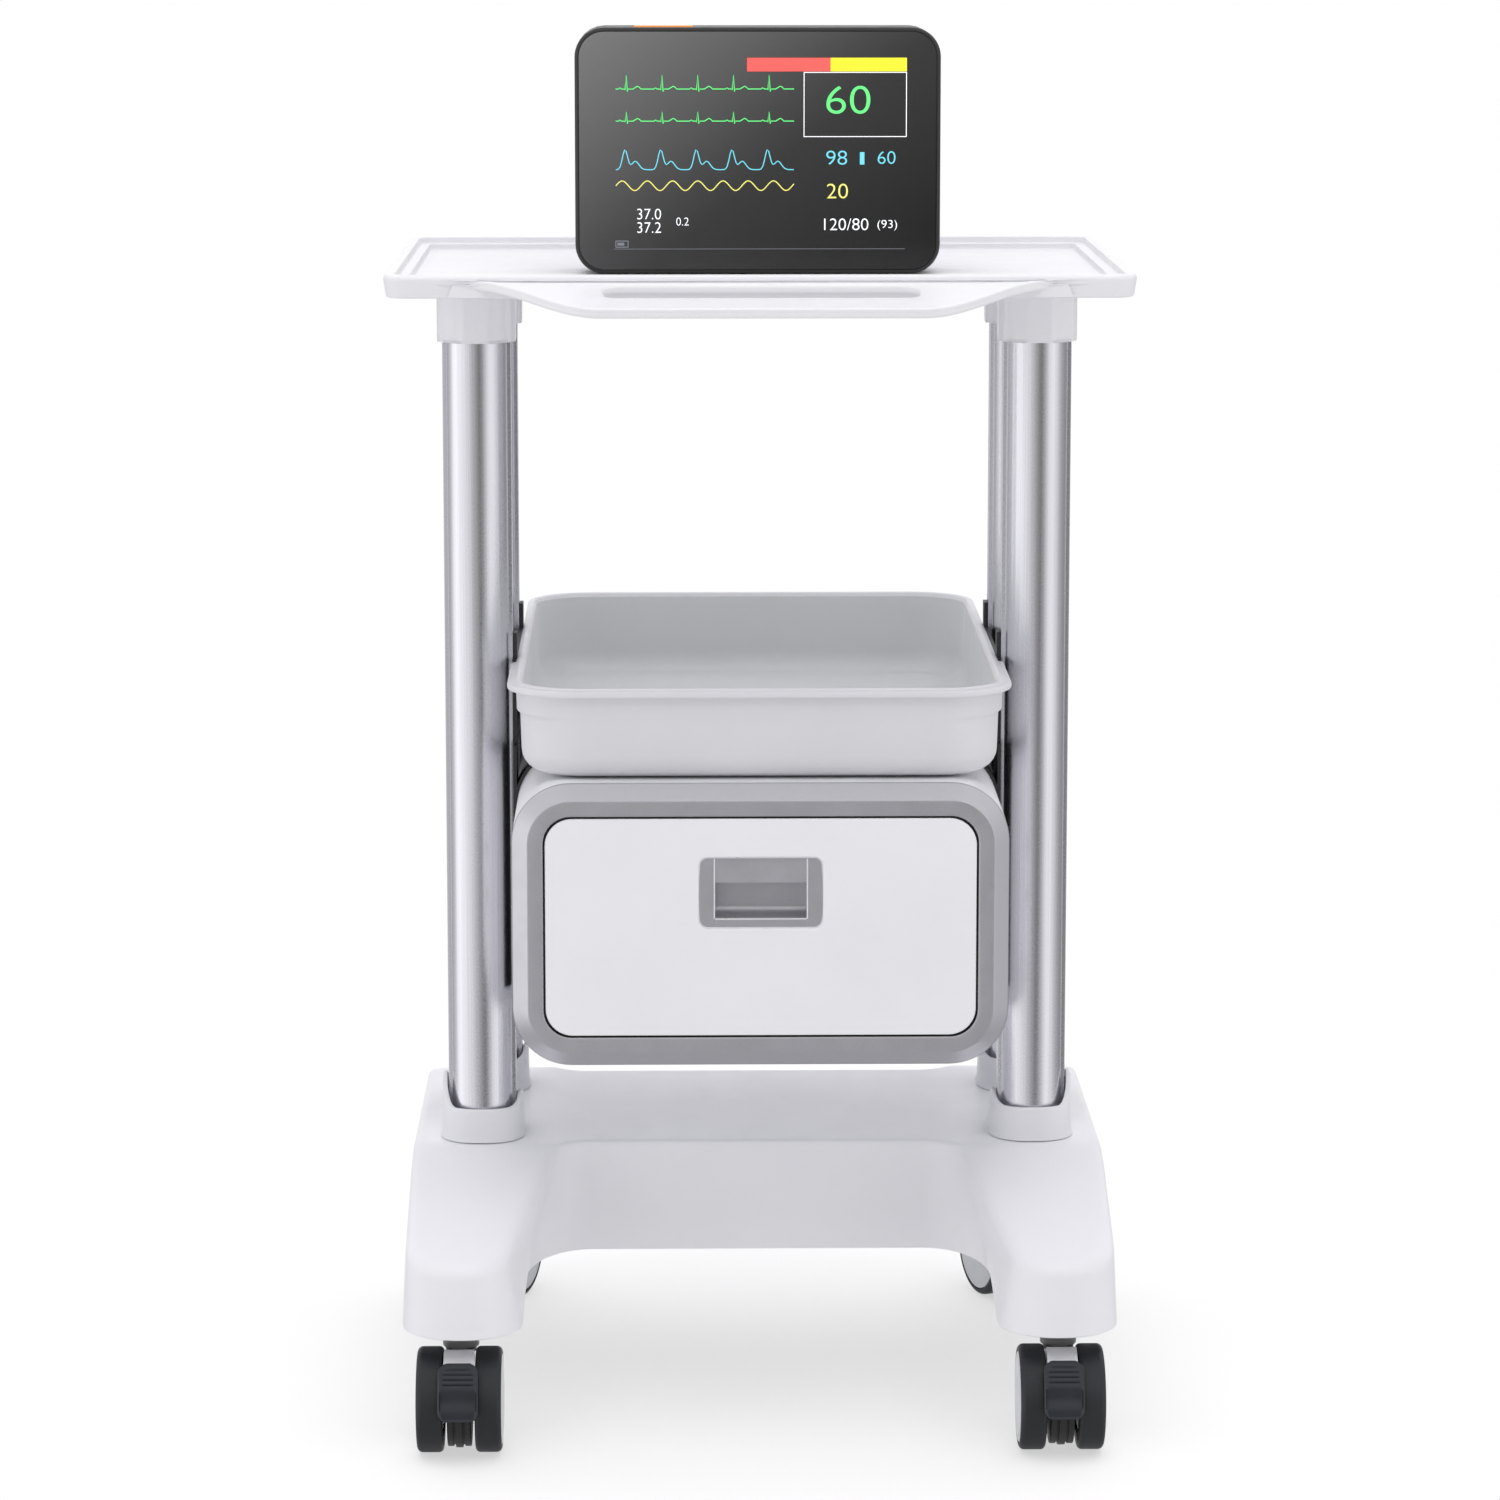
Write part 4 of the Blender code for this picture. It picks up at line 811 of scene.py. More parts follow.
def make_tray():
    floor, rim = TRAY_LOW.z, TRAY_HIGH.z
    foot_radius, foot_steps = 0.0165, 6
    outside = []
    for step in range(foot_steps + 1):
        angle = math.pi / 2 * step / foot_steps
        outside.append(tray_ring(0.0012 + foot_radius * (1 - math.sin(angle)),
                                 floor + foot_radius * (1 - math.cos(angle)), sides=TRAY_STEP))
    outside += [tray_ring(0.0004, rim - 0.0250, sides=TRAY_STEP),
                tray_ring(0.0003, rim - 0.0240, sides=0.0019),
                tray_ring(0.0000, rim - 0.0225, sides=0.0004),
                tray_ring(0.0000, rim - 0.0215), tray_ring(-0.0004, rim - 0.0068),
                tray_ring(-0.0022, rim - 0.0060), tray_ring(-0.0028, rim - 0.0050),
                tray_ring(-0.0032, rim - 0.0020), tray_ring(-0.0028, rim - 0.0008),
                tray_ring(-0.0018, rim), tray_ring(0.0012, rim),
                tray_ring(0.0024, rim - 0.0008), tray_ring(0.0032, rim - 0.0022),
                tray_ring(0.0040, rim - 0.0030)]
    inner = [tray_ring(0.0040, rim - 0.0030), tray_ring(0.0046, rim - 0.0120),
             tray_ring(0.0056, floor + 0.0195)]
    for step in range(1, 8):
        angle = math.pi / 2 * step / 7
        inner.append(tray_ring(0.0056 + 0.0140 * (1 - math.cos(angle)),
                               floor + 0.0030 + foot_radius * (1 - math.sin(angle))))
    skin = loft("tray_basin", outside + inner[1:], True, True)
    # Painted light: the basin's inner faces and floor get the second copy of the tray plastic,
    # toned for how the basin is lit.
    painted_light_faces = []
    for polygon in skin.polygons:
        middle = polygon.center
        edge = max(abs(middle.x) / 0.1770,
                   abs(middle.y - (TRAY_LOW.y + TRAY_HIGH.y + 0.0035) / 2) / 0.2475)
        facing = polygon.normal
        inwards = facing.x * middle.x + facing.y * (middle.y - 0.03) < 0
        painted_light_faces.append(middle.z < rim - 0.0024 and (inwards or facing.z > 0.7) and edge < 1.0)
    item = piece("tray_basin", skin, "cart", WHITE_TRAY, ["tray"], 40.0)
    item.data.materials.append(TRAY_INSIDE_PAINTED_LIGHT)
    for polygon, gets_painted_light in zip(item.data.polygons, painted_light_faces):
        polygon.material_index = 1 if gets_painted_light else 0
    front, ears = TRAY_LOW.y, FRONT + 0.143
    wide, band = TRAY_HIGH.x, 0.1822
    outer = [(wide, ears), (wide - 0.0045, ears + 0.006), (band - 0.001, ears + 0.006)]
    inner_arc = arc((band - 0.046, front + 0.052), 0.046, 0, -90, 16)
    outer_arc = arc((wide - 0.051, front + 0.051), 0.051, -90, 0, 16)
    right_outer = outer_arc + outer
    loop = [(-x, y) for x, y in reversed(right_outer)] + right_outer
    hole = inner_arc + [(-x, y) for x, y in reversed(inner_arc)]
    flange = slab("tray_flange", [loop + hole], rim - 0.0062, rim - 0.0016, edge=0.0014, steps=4)
    piece("tray_flange", flange, "cart", WHITE_TRAY, degrees=35.0)


# ---------------------------------------------------------------- drawer box
BOX_HALF_WIDTH = 0.184
BOX_MID_Z = (BEZEL_LOW.z + BEZEL_HIGH.z) / 2
BOX_HALF_HEIGHT = (BEZEL_HIGH.z - BEZEL_LOW.z) / 2


HOUSING_REAR_RADIUS = 0.0080


def box_ring(inwards, y, corner=0.044):
    wide, tall = BOX_HALF_WIDTH - inwards, BOX_HALF_HEIGHT - inwards
    return at(rounded(-wide, wide, BOX_MID_Z - tall, BOX_MID_Z + tall,
                      max(corner - inwards, 0.006), 14), y, "Y")


def make_housing():
    front, back = HOUSING_LOW.y, HOUSING_HIGH.y
    rings = [box_ring(0.0016, front), box_ring(0.0006, front + 0.0004),
             box_ring(0.0, front + 0.0014), box_ring(0.0, front + 0.150),
             box_ring(0.0, back - HOUSING_REAR_RADIUS)]
    for step in range(1, 6):
        angle = math.pi / 2 * step / 5
        rings.append(box_ring(HOUSING_REAR_RADIUS * (1 - math.cos(angle)),
                              back - HOUSING_REAR_RADIUS * (1 - math.sin(angle))))
    rings += [box_ring(0.0200, back), box_ring(0.0208, back - 0.0006),
              box_ring(0.0214, back - 0.0014)]
    inner = [box_ring(0.0034, front), box_ring(0.0030, front + 0.0010),
             box_ring(0.0030, back - 0.0090), box_ring(0.0060, back - 0.0046),
             box_ring(0.0100, back - 0.0040)]
    mesh = loft("drawer_housing", list(reversed(inner)) + rings, True, True)
    piece("drawer_housing", mesh, "cart", WHITE, ["box_housing"], 40.0)
    screws = []
    for _, side in SIDES:
        for z in (0.425, 0.387):
            head = turned("screw", [(0.0, 0.0), (0.0048, 0.0), (0.0048, 0.0008), (0.0040, 0.0018),
                                    (0.0022, 0.0023), (0.0021, 0.0012), (0.0, 0.0012)],
                          segments=24)
            rotation = Matrix.Rotation(side * math.pi / 2, 4, "Y")
            screws.append(placed(head, Matrix.Translation((side * 0.1841, FRONT + 0.09, z))
                                 @ rotation))
    piece("housing_screws", joined("housing_screws", *screws), "cart", STEEL)


def make_bezel():
    front, back = BEZEL_LOW.y, BEZEL_HIGH.y
    rings = [box_ring(0.0010, back), box_ring(0.0, back - 0.0010), box_ring(0.0, front + 0.0128),
             box_ring(0.0002, front + 0.0120), box_ring(0.0009, front + 0.0109),
             box_ring(0.0108, front + 0.0010), box_ring(0.0116, front + 0.0003),
             box_ring(0.0128, front), box_ring(0.0219, front),
             box_ring(0.0228, front + 0.0003), box_ring(0.0233, front + 0.0010),
             box_ring(0.0233, back)]
    mesh = loft("silver_bezel", rings, closed=True)
    piece("silver_bezel", mesh, "cart", SILVER, ["box_bezel"], 25.0)
    # Painted shade: a black lining over the inner wall of the opening, so the gap round the drawer
    # reads dark.
    gap_shade_lining = [box_ring(0.0233, front + 0.0012), box_ring(0.0238, front + 0.0010),
              box_ring(0.0240, front + 0.0016), box_ring(0.0240, back - 0.001),
              box_ring(0.0233, back - 0.001)]
    piece("bezel_gap_painted_shade", loft("bezel_gap_painted_shade", gap_shade_lining, closed=True), "cart", GAP_PAINTED_SHADE)


def make_drawer_front():
    low, high = DRAWER_LOW, DRAWER_HIGH
    outline = rounded(low.x + 0.0003, high.x - 0.0003, low.z + 0.0003, high.z - 0.0003, 0.0201, 12)
    pull = rounded(PULL_LOW.x - 0.0002, PULL_HIGH.x + 0.0002, PULL_LOW.z - 0.0002,
                   PULL_HIGH.z + 0.0002, 0.0067, 8)
    mesh = slab("drawer_face", [outline, pull], low.y, high.y, "Y", 0.0011, 4)
    piece("drawer_face", mesh, "drawer", WHITE, ["drawer_front"], 30.0)
    # Painted shade: a black ring behind the face's edge, showing through the gap round the drawer
    # so that it reads dark.
    grip = [rounded(low.x - 0.0004, high.x + 0.0004, low.z - 0.0004, high.z + 0.0004, 0.0208, 12),
            rounded(low.x + 0.0020, high.x - 0.0020, low.z + 0.0020, high.z - 0.0020, 0.0184, 12)]
    gap_shade_ring = slab("drawer_gap_painted_shade", grip, low.y + 0.0012, low.y + 0.0080, "Y", 0.0002, 1)
    piece("drawer_gap_painted_shade", gap_shade_ring, "drawer", GAP_PAINTED_SHADE)


PULL_CORNER = 0.0065
PLATE_EDGE = 0.0342


def pull_cheek(near, far, low, high, front, back):
    """Outer part of the pull: its face bulges forward, its outer corners are round."""
    half = (high - low) / 2
    rings = []
    for step in range(25):
        z = low + (high - low) * (0.5 - 0.5 * math.cos(math.pi * step / 24))
        end = min(z - low, high - z)
        trim = 0.0
        if end < PULL_CORNER:
            trim = PULL_CORNER - math.sqrt(PULL_CORNER ** 2 - (PULL_CORNER - end) ** 2)
        reach = far - math.copysign(trim, far)
        bulge = front + 0.0011 * ((z - low - 0.92 * half) / half) ** 2
        rings.append(at(rounded(min(near, reach), max(near, reach), bulge, back, 0.0005, 4), z))
    return loft("cheek", rings, True, True)


def make_pull():
    """Silver pull: bulging cheeks, a leaning upper plate, and a pocket over a rounded bar."""
    left, right, low, high = PULL_LOW.x, PULL_HIGH.x, PULL_LOW.z, PULL_HIGH.z
    front, back = PULL_LOW.y, PULL_HIGH.y
    middle = (left + right) / 2
    shadow_top, bar_top = 0.4372, 0.4098
    frame_outline = rounded(left, right, low, high, PULL_CORNER, 8)
    pocket = rounded(middle - 0.0340, middle + 0.0340, bar_top, shadow_top, 0.0010, 3)
    backing = slab("backing", [frame_outline, pocket], front + 0.0030, back, "Y", 0.0004, 2)
    cheeks = [pull_cheek(middle + side * PLATE_EDGE, middle + side * (right - left) / 2, low, high,
                         front, front + 0.0060) for _, side in SIDES]
    leaning = [(front + 0.0006, shadow_top), (front + 0.0045, shadow_top),
               (front + 0.0045, high - 0.0006), (front + 0.0029, high - 0.0006)]
    plate = slab("plate", [leaning], middle - PLATE_EDGE, middle + PLATE_EDGE, "X", 0.0002, 1)
    bar = slab("bar", [rounded(middle - PLATE_EDGE, middle + PLATE_EDGE, low + 0.0002, bar_top,
                               0.0010, 3)], front + 0.0005, front + 0.0060, "Y", 0.0010, 4)
    wall = slab("wall", [rounded(middle - 0.0350, middle + 0.0350, bar_top - 0.0010,
                                 shadow_top + 0.0010, 0.0022, 4)],
                back - 0.0030, back - 0.0005, "Y", 0.0004, 2)
    hollow = arc((back - 0.0095, 0.4168), 0.0066, 0, -90, 10)
    slope = [(front + 0.0056, bar_top), (back - 0.0026, bar_top), (back - 0.0026, 0.4168)] + hollow
    ramp = slab("ramp", [slope], middle - 0.0341, middle + 0.0341, "X", 0.0002, 1)
    piece("pull_handle", joined("pull_handle", backing, plate, bar, wall, ramp, *cheeks), "drawer",
          SILVER, ["drawer_pull"], 30.0)
    # Painted highlights: thin strips in the brighter finish along the cheeks' inner edges, the
    # bar's top and the pull's outer rim, standing in for light caught on those edges.
    lines = [slab("line", [rounded(middle + side * 0.0343 - 0.0005, middle + side * 0.0343 + 0.0005,
                                   bar_top, high - 0.0012, 0.0002, 2)],
                  front - 0.0001, front + 0.0030, "Y", 0.0003, 2) for _, side in SIDES]
    lines.append(slab("line", [rounded(middle - 0.0338, middle + 0.0338, bar_top - 0.0004,
                                       bar_top + 0.0003, 0.0002, 2)],
                      front + 0.0002, front + 0.0030, "Y", 0.0002, 2))
    outline = rounded(left - 0.0001, right + 0.0001, low - 0.0001, high + 0.0001,
                      PULL_CORNER + 0.0001, 8)
    within = rounded(left + 0.0006, right - 0.0006, low + 0.0006, high - 0.0006,
                     PULL_CORNER - 0.0006, 8)
    lines.append(slab("line", [outline, within], front + 0.0005, front + 0.0030, "Y", 0.0002, 2))
    piece("pull_painted_highlights", joined("pull_painted_highlights", *lines), "drawer",
          PULL_PAINTED_HIGHLIGHT, degrees=30.0)


# ---------------------------------------------------------------- monitor
SCREEN_LEFT, SCREEN_TOP = -0.1090, 1.0370
MM = 0.001


def face_ring(inwards, y):
    return at(rounded(FACE_LOW.x + inwards, FACE_HIGH.x - inwards, FACE_LOW.z + inwards,
                      FACE_HIGH.z - inwards, max(0.022 - inwards, 0.004), 12), y, "Y")


def make_monitor_face():
    front, back = FACE_LOW.y, FACE_HIGH.y
    rings = [face_ring(0.0012, back), face_ring(0.0, back - 0.0010), face_ring(0.0, front + 0.0030),
             face_ring(0.0003, front + 0.0016), face_ring(0.0011, front + 0.0005),
             face_ring(0.0022, front)]
    rim = loft("monitor_rim", rings + [face_ring(0.0028, front + 0.0001),
                                       face_ring(0.0030, front + 0.0008)], True, True)
    piece("monitor_rim", rim, "cart", CASE, ["monitor_front"], 30.0)
    glass = loft("display_panel", [face_ring(0.0031, front + 0.0007),
                                   face_ring(0.0031, front + 0.0003), face_ring(0.0034, front),
                                   face_ring(0.0040, front - 0.0001)], True, True)
    piece("display_panel", glass, "cart", DISPLAY_PAINTED_SHEEN, ["monitor_glass"], 30.0)


def ribbon(points, width):
    """Flat thin band along a line on the screen, in mm from its upper left corner."""
    half = width / 2
    sides = ([], [])
    for index, point in enumerate(points):
        before = Vector(points[max(index - 1, 0)])
        after = Vector(points[min(index + 1, len(points) - 1)])
        along = (after - before).normalized()
        normal = Vector((-along.y, along.x)) * half
        sides[0].append(Vector(point) + normal)
        sides[1].append(Vector(point) - normal)
    return prism_on_screen([sides[0], sides[1]])


def prism_on_screen(sides):
    """Closed thin strip between two lines of equal length."""
    near, far = FACE_LOW.y - 0.00035, FACE_LOW.y - 0.00005
    count = len(sides[0])
    points, faces = [], []
    for depth in (near, far):
        for line in sides:
            points += [(SCREEN_LEFT + u * MM, depth, SCREEN_TOP - v * MM) for u, v in line]
    for step in range(count - 1):
        for start, sign in ((0, 1), (2 * count, -1)):
            quad = (start + step, start + step + 1, start + count + step + 1, start + count + step)
            faces.append(quad[::sign])
        for start in (0, count):
            faces.append((start + step, start + 2 * count + step, start + 2 * count + step + 1,
                          start + step + 1))
    for step in (0, count - 1):
        faces.append((step, count + step, 3 * count + step, 2 * count + step))
    return from_lists("strip", points, faces)


def bar_on_screen(left, top, right, bottom):
    return prism_on_screen([[(left, top), (right, top)], [(left, bottom), (right, bottom)]])


def number(text, left, top, right, bottom):
    """Digits fitted into a box on the screen."""
    curve = bpy.data.curves.new("digits", "FONT")
    curve.body = text
    curve.extrude = 0.02
    curve.offset = -0.010
    mesh = taken_mesh(add("digits", curve))
    bpy.data.curves.remove(curve)
    xs = [vertex.co.x for vertex in mesh.vertices]
    ys = [vertex.co.y for vertex in mesh.vertices]
    for vertex in mesh.vertices:
        u = left + (vertex.co.x - min(xs)) / (max(xs) - min(xs)) * (right - left)
        v = bottom - (vertex.co.y - min(ys)) / (max(ys) - min(ys)) * (bottom - top)
        depth = FACE_LOW.y - (0.00035 if vertex.co.z > 0 else 0.00005)
        vertex.co = (SCREEN_LEFT + u * MM, depth, SCREEN_TOP - v * MM)
    return clean(mesh)


def heartbeat(start, baseline, height):
    """One ECG beat: a small wave, the spike, then a broad low wave."""
    shape = [(0.0, 0.0), (2.0, 0.0), (3.2, 0.9), (4.4, 0.0), (6.6, 0.0), (7.1, -0.8),
             (8.0, height), (8.9, -1.9), (9.5, 0.0), (13.0, 0.0), (14.6, 1.0), (16.4, 2.1),
             (18.0, 1.2), (19.0, 0.0), (26.7, 0.0)]
    return [(start + u, baseline - v) for u, v in shape]


GLOWS = {
    "green": (0.10, 0.62, 0.16, 1.0), "cyan": (0.12, 0.48, 0.56, 1.0),
    "yellow": (0.62, 0.60, 0.14, 1.0), "white": (0.72, 0.73, 0.74, 1.0),
    "red": (0.80, 0.08, 0.07, 1.0), "banner": (0.86, 0.80, 0.02, 1.0),
    "dim": (0.16, 0.17, 0.19, 1.0),
}


def make_screen_content():
    """Traces, numbers and plain bars, in mm from the screen's upper left corner."""
    beats = []
    for baseline, height in ((23.9, 10.5), (47.8, 7.0)):
        line = [point for beat in range(5)
                for point in heartbeat(2.6 + 26.7 * beat, baseline, height)]
        beats.append(ribbon(line, 0.75))
    places = [(2.6 + 1.112 * index, index) for index in range(121)]
    pulse = []
    for u, index in places:
        phase = (index % 24) / 24
        rise = math.exp(-((phase - 0.26) / 0.10) ** 2)
        echo = 0.42 * math.exp(-((phase - 0.55) / 0.14) ** 2)
        pulse.append((u, 84.0 - 15.0 * min(rise + echo, 1.0)))
    breath = [(u, 96.0 - 3.6 * math.sin(2 * math.pi * index / 17.0)) for u, index in places]
    box = [[(143.6, 11.6), (220.2, 11.6)], [(143.6, 59.4), (220.2, 59.4)],
           [(143.6, 11.3), (143.6, 59.7)], [(220.2, 11.3), (220.2, 59.7)]]
    battery = [[(2.4, 137.4), (11.6, 137.4)], [(2.4, 142.0), (11.6, 142.0)],
               [(2.4, 137.1), (2.4, 142.3)], [(11.6, 137.1), (11.6, 142.3)]]
    content = (
        ("trace_green", "green", beats),
        ("trace_cyan", "cyan", [ribbon(pulse, 0.75)]),
        ("trace_yellow", "yellow", [ribbon(breath, 0.75)]),
        ("digits_green", "green", [number("60", 160.3, 21.6, 193.2, 42.4)]),
        ("digits_cyan", "cyan", [number("98", 160.3, 69.9, 175.9, 80.4),
                                 number("60", 198.9, 70.3, 212.2, 79.8),
                                 bar_on_screen(185.5, 71.0, 188.9, 80.3)]),
        ("digits_yellow", "yellow", [number("20", 160.8, 94.6, 176.6, 105.6)]),
        ("digits_white", "white", [number("120/80", 158.8, 120.6, 192.0, 129.4),
                                   number("(93)", 198.9, 121.8, 213.6, 129.8),
                                   number("37.0", 18.5, 113.2, 36.4, 121.2),
                                   number("37.2", 18.5, 123.3, 36.4, 131.3),
                                   number("0.2", 47.8, 119.8, 57.2, 125.8)]),
        ("banner_red", "red", [bar_on_screen(101.0, 0.8, 163.5, 10.8)]),
        ("banner_yellow", "banner", [bar_on_screen(163.5, 0.8, 220.4, 10.8)]),
        ("frame_white", "white", [ribbon(side, 0.6) for side in box]),
        ("status_line", "dim", [ribbon([(1.0, 143.4), (219.5, 143.4)], 0.35)]
         + [ribbon(side, 0.7) for side in battery] + [bar_on_screen(3.6, 138.6, 8.8, 140.8)]),
    )
    glows = {name: glow("glow_" + name, colour, 0.6 if name == "dim" else 0.85)
             for name, colour in GLOWS.items()}
    for name, colour, parts in content:
        piece(name, joined(name, *parts), "cart", glows[colour])


# ---------------------------------------------------------------- casters
def to_body(x, y, angle):
    return Matrix.Translation((x, y, 0.0)) @ Matrix.Rotation(angle, 4, "Z")


def about_axle(degrees, radius):
    """A point (y, z) round the axle; 90 degrees is up and 180 is ahead of the wheels."""
    angle = math.radians(degrees)
    return (AXLE_Y + radius * math.cos(angle), AXLE_Z + radius * math.sin(angle))


def tyre_mesh():
    half = 0.0100
    profile = [(0.0272, half - 0.0034), (0.0345, half - 0.0034), (0.0346, half - 0.0010),
               (0.0349, half - 0.0003), (0.0354, half - 0.0002)]
    profile += [(0.0354 + 0.0041 * math.sin(a), half - 0.0044 + 0.0042 * math.cos(a))
                for a in [math.pi / 12 * k for k in range(1, 7)]]
    profile += [(0.0360 + 0.0035 * math.cos(a), -half + 0.0035 - 0.0035 * math.sin(a))
                for a in [math.pi / 10 * k for k in range(0, 6)]]
    profile += [(0.0280, -half), (0.0272, -half + 0.0010)]
    mesh = turned("tyre", profile, segments=72, closed=True)
    return placed(mesh, Matrix.Rotation(math.pi / 2, 4, "Y"))


def hub_mesh():
    """Hub and its wide flat cover; the cover looks to +X."""
    profile = [(0.0, -0.0088), (0.0245, -0.0088), (0.0262, -0.0080), (0.0271, -0.0068),
               (0.0271, 0.0068), (0.0332, 0.0069), (0.0340, 0.0074), (0.0342, 0.0084),
               (0.0339, 0.0094), (0.0331, 0.0099), (0.0308, 0.0101), (0.0304, 0.0097),
               (0.0298, 0.0097), (0.0294, 0.0102), (0.0200, 0.0106), (0.0100, 0.0109),
               (0.0, 0.0110)]
    mesh = turned("hub", profile, segments=72)
    return placed(mesh, Matrix.Rotation(math.pi / 2, 4, "Y"))


def fork_foot_mesh(with_pedal):
    """Black body between the wheels: two cheeks and a middle rib that reaches lowest."""
    neck = [(0.0118, 0.0745), (-0.0150, 0.0745), (-0.0216, 0.0728)]
    heel = [(0.0116, 0.0602)]
    parts = []
    for x in (-0.0065, 0.0065):
        cheek = neck + [about_axle(a, 0.0350) for a in range(142, 345, 6)] + heel
        parts.append(slab("cheek", [cheek], x - 0.0023, x + 0.0023, "X", 0.0006, 2))
    if with_pedal:
        middle = neck + [(-0.0296, 0.0690), (-0.0296, 0.0395)]
        middle += [about_axle(a, 0.0360) for a in range(184, 345, 6)] + heel
    else:
        middle = neck + [about_axle(a, 0.0360) for a in range(142, 345, 6)] + heel
    parts.append(slab("middle", [middle], -0.0027, 0.0027, "X", 0.0006, 2))
    core = neck + [(-0.0296, 0.0690), (-0.0296, 0.0395)]
    core += [about_axle(a, 0.0338) for a in range(184, 345, 6)] + heel
    parts.append(slab("core", [core], -0.0050, 0.0050, "X", 0.0004, 1))
    hood = [about_axle(a, 0.0384) for a in range(98, 151, 4)]
    hood += [about_axle(a, 0.0335) for a in range(150, 97, -4)]
    parts.append(slab("hood", [hood], -0.0114, 0.0114, "X", 0.0005, 2))
    return parts


def fork_head_mesh():
    """Swivel head under the stem's flange."""
    return turned("head", [(0.0, 0.0700), (0.0112, 0.0700), (0.0117, 0.0706), (0.0117, 0.0741),
                           (0.0132, 0.0743), (0.0137, 0.0750), (0.0137, 0.0846), (0.0133, 0.0851),
                           (0.0120, 0.0852), (0.0, 0.0852)], segments=48)


def fork_plate_mesh():
    """Silver plate that curves over the top of the body, towards the front."""
    outer = [about_axle(a, 0.0404) for a in range(98, 151, 4)]
    inner = [about_axle(a, 0.0385) for a in range(150, 97, -4)]
    return slab("plate", [outer + inner], -0.0114, 0.0114, "X", 0.0005, 2)


PEDAL_START, PEDAL_END = 128.0, 185.0
PEDAL_RADIUS = 0.0468
PEDAL_LENGTH = math.radians(PEDAL_END - PEDAL_START) * PEDAL_RADIUS


def pedal_relief(u, v):
    """Depth of the pedal's face; u runs across from -1 to 1 and v down from 0 to 1."""
    edge = min((1 - abs(u)) * 0.015, v * PEDAL_LENGTH, (1 - v) * PEDAL_LENGTH)
    border = min(max((edge - 0.0010) / 0.0012, 0.0), 1.0)
    border = border * border * (3 - 2 * border)
    depth = 0.0008 * border
    for place, reach in ((0.117, 0.66), (0.209, 0.82), (0.300, 0.82), (0.390, 0.82)):
        away = (v - place) * PEDAL_LENGTH / 0.0006
        ends = min(max((reach - abs(u)) * 14.0, 0.0), 1.0)
        depth += 0.0008 * math.exp(-away * away) * ends
    if 0.44 < v < 0.88:
        depth += 0.0021 * (0.5 - 0.5 * math.cos(math.tau * (v - 0.44) / 0.44)) * border
    return depth


def pedal_half_width(v):
    """Half width at v, with the rounded corners of the upper and lower ends."""
    half, corner = 0.0150, (0.0086 if v < 0.5 else 0.0072)
    near = min(v, 1 - v) * PEDAL_LENGTH
    if near >= corner:
        return half
    return half - corner + math.sqrt(max(corner ** 2 - (corner - near) ** 2, 0.0))


def pedal_mesh():
    """Curved brake pedal: raised border, grooves near its top and a lip at its foot."""
    rows, columns = 90, 30
    count = columns + 1
    back = (rows + 1) * count
    points = []
    for layer in (0, 1):
        for row in range(rows + 1):
            v = row / rows
            for column in range(count):
                u = 2 * column / columns - 1
                radius = PEDAL_RADIUS - pedal_relief(u, v)
                if column in (0, columns) or row in (0, rows):
                    radius -= 0.0009
                if layer:
                    radius = min(radius - 0.0012, 0.0436)
                angle = PEDAL_START + (PEDAL_END - PEDAL_START) * v
                y, z = about_axle(angle, radius)
                points.append((u * pedal_half_width(v), y, z))
    faces = []
    for row in range(rows):
        for column in range(columns):
            a = row * count + column
            faces.append((a, a + 1, a + count + 1, a + count))
            faces.append((back + a + count, back + a + count + 1, back + a + 1, back + a))
        for column in (0, columns):
            a, b = row * count + column, (row + 1) * count + column
            faces.append((a, b, back + b, back + a))
    for column in range(columns):
        for row in (0, rows):
            a, b = row * count + column, row * count + column + 1
            faces.append((a, b, back + b, back + a))
    plate = from_lists("pedal", points, faces)
    web = [about_axle(a, 0.0425) for a in (146, 152, 158, 164, 172, 180)]
    web += [(-0.0420, 0.0440), (-0.0360, 0.0445), (-0.0320, 0.0480), (-0.0325, 0.0530),
            (-0.0360, 0.0560), (-0.0400, 0.0600)]
    rib = slab("web", [web], -0.0034, 0.0034, "X", 0.0005, 2)
    pin = turned("pin", [(0.0, -0.0072), (0.0025, -0.0072), (0.0025, 0.0072), (0.0, 0.0072)],
                 axis="X", centre=(-0.0365, 0.0491), segments=20)
    return joined("pedal", plate, rib, pin)


def make_casters():
    tyre, hub = tyre_mesh(), hub_mesh()
    pedal = pedal_mesh()
    for corner, (x, y, angle) in CASTERS.items():
        here = to_body(x, y, angle)
        body = "caster_" + corner
        foot = joined("foot", *fork_foot_mesh(corner.startswith("front")))
        piece("fork_foot_" + corner, placed(foot, here), body, FORK_BLACK,
              ["caster_fork_" + corner], 30.0)
        piece("swivel_head_" + corner, placed(fork_head_mesh(), here), body,
              SWIVEL_GREY, degrees=30.0)
        piece("fork_plate_" + corner, placed(fork_plate_mesh(), here), body,
              PLATE_SILVER, degrees=30.0)
        for side_name, side in SIDES:
            wheel = "wheel_%s_%s" % (corner, side_name)
            spot = here @ Matrix.Translation((side * 0.022, AXLE_Y, AXLE_Z))
            spot = spot @ Matrix.Rotation(0.0 if side > 0 else math.pi, 4, "Z")
            piece("tyre_%s_%s" % (corner, side_name), copied(tyre, spot), wheel, RUBBER,
                  [wheel], 40.0)
            piece("hub_%s_%s" % (corner, side_name), copied(hub, spot), wheel, HUB_GREY,
                  degrees=30.0)
        if corner.startswith("front"):
            name = "brake_pedal_" + corner
            piece("pedal_" + corner, copied(pedal, here), name, PEDAL, [name],
                  40.0)


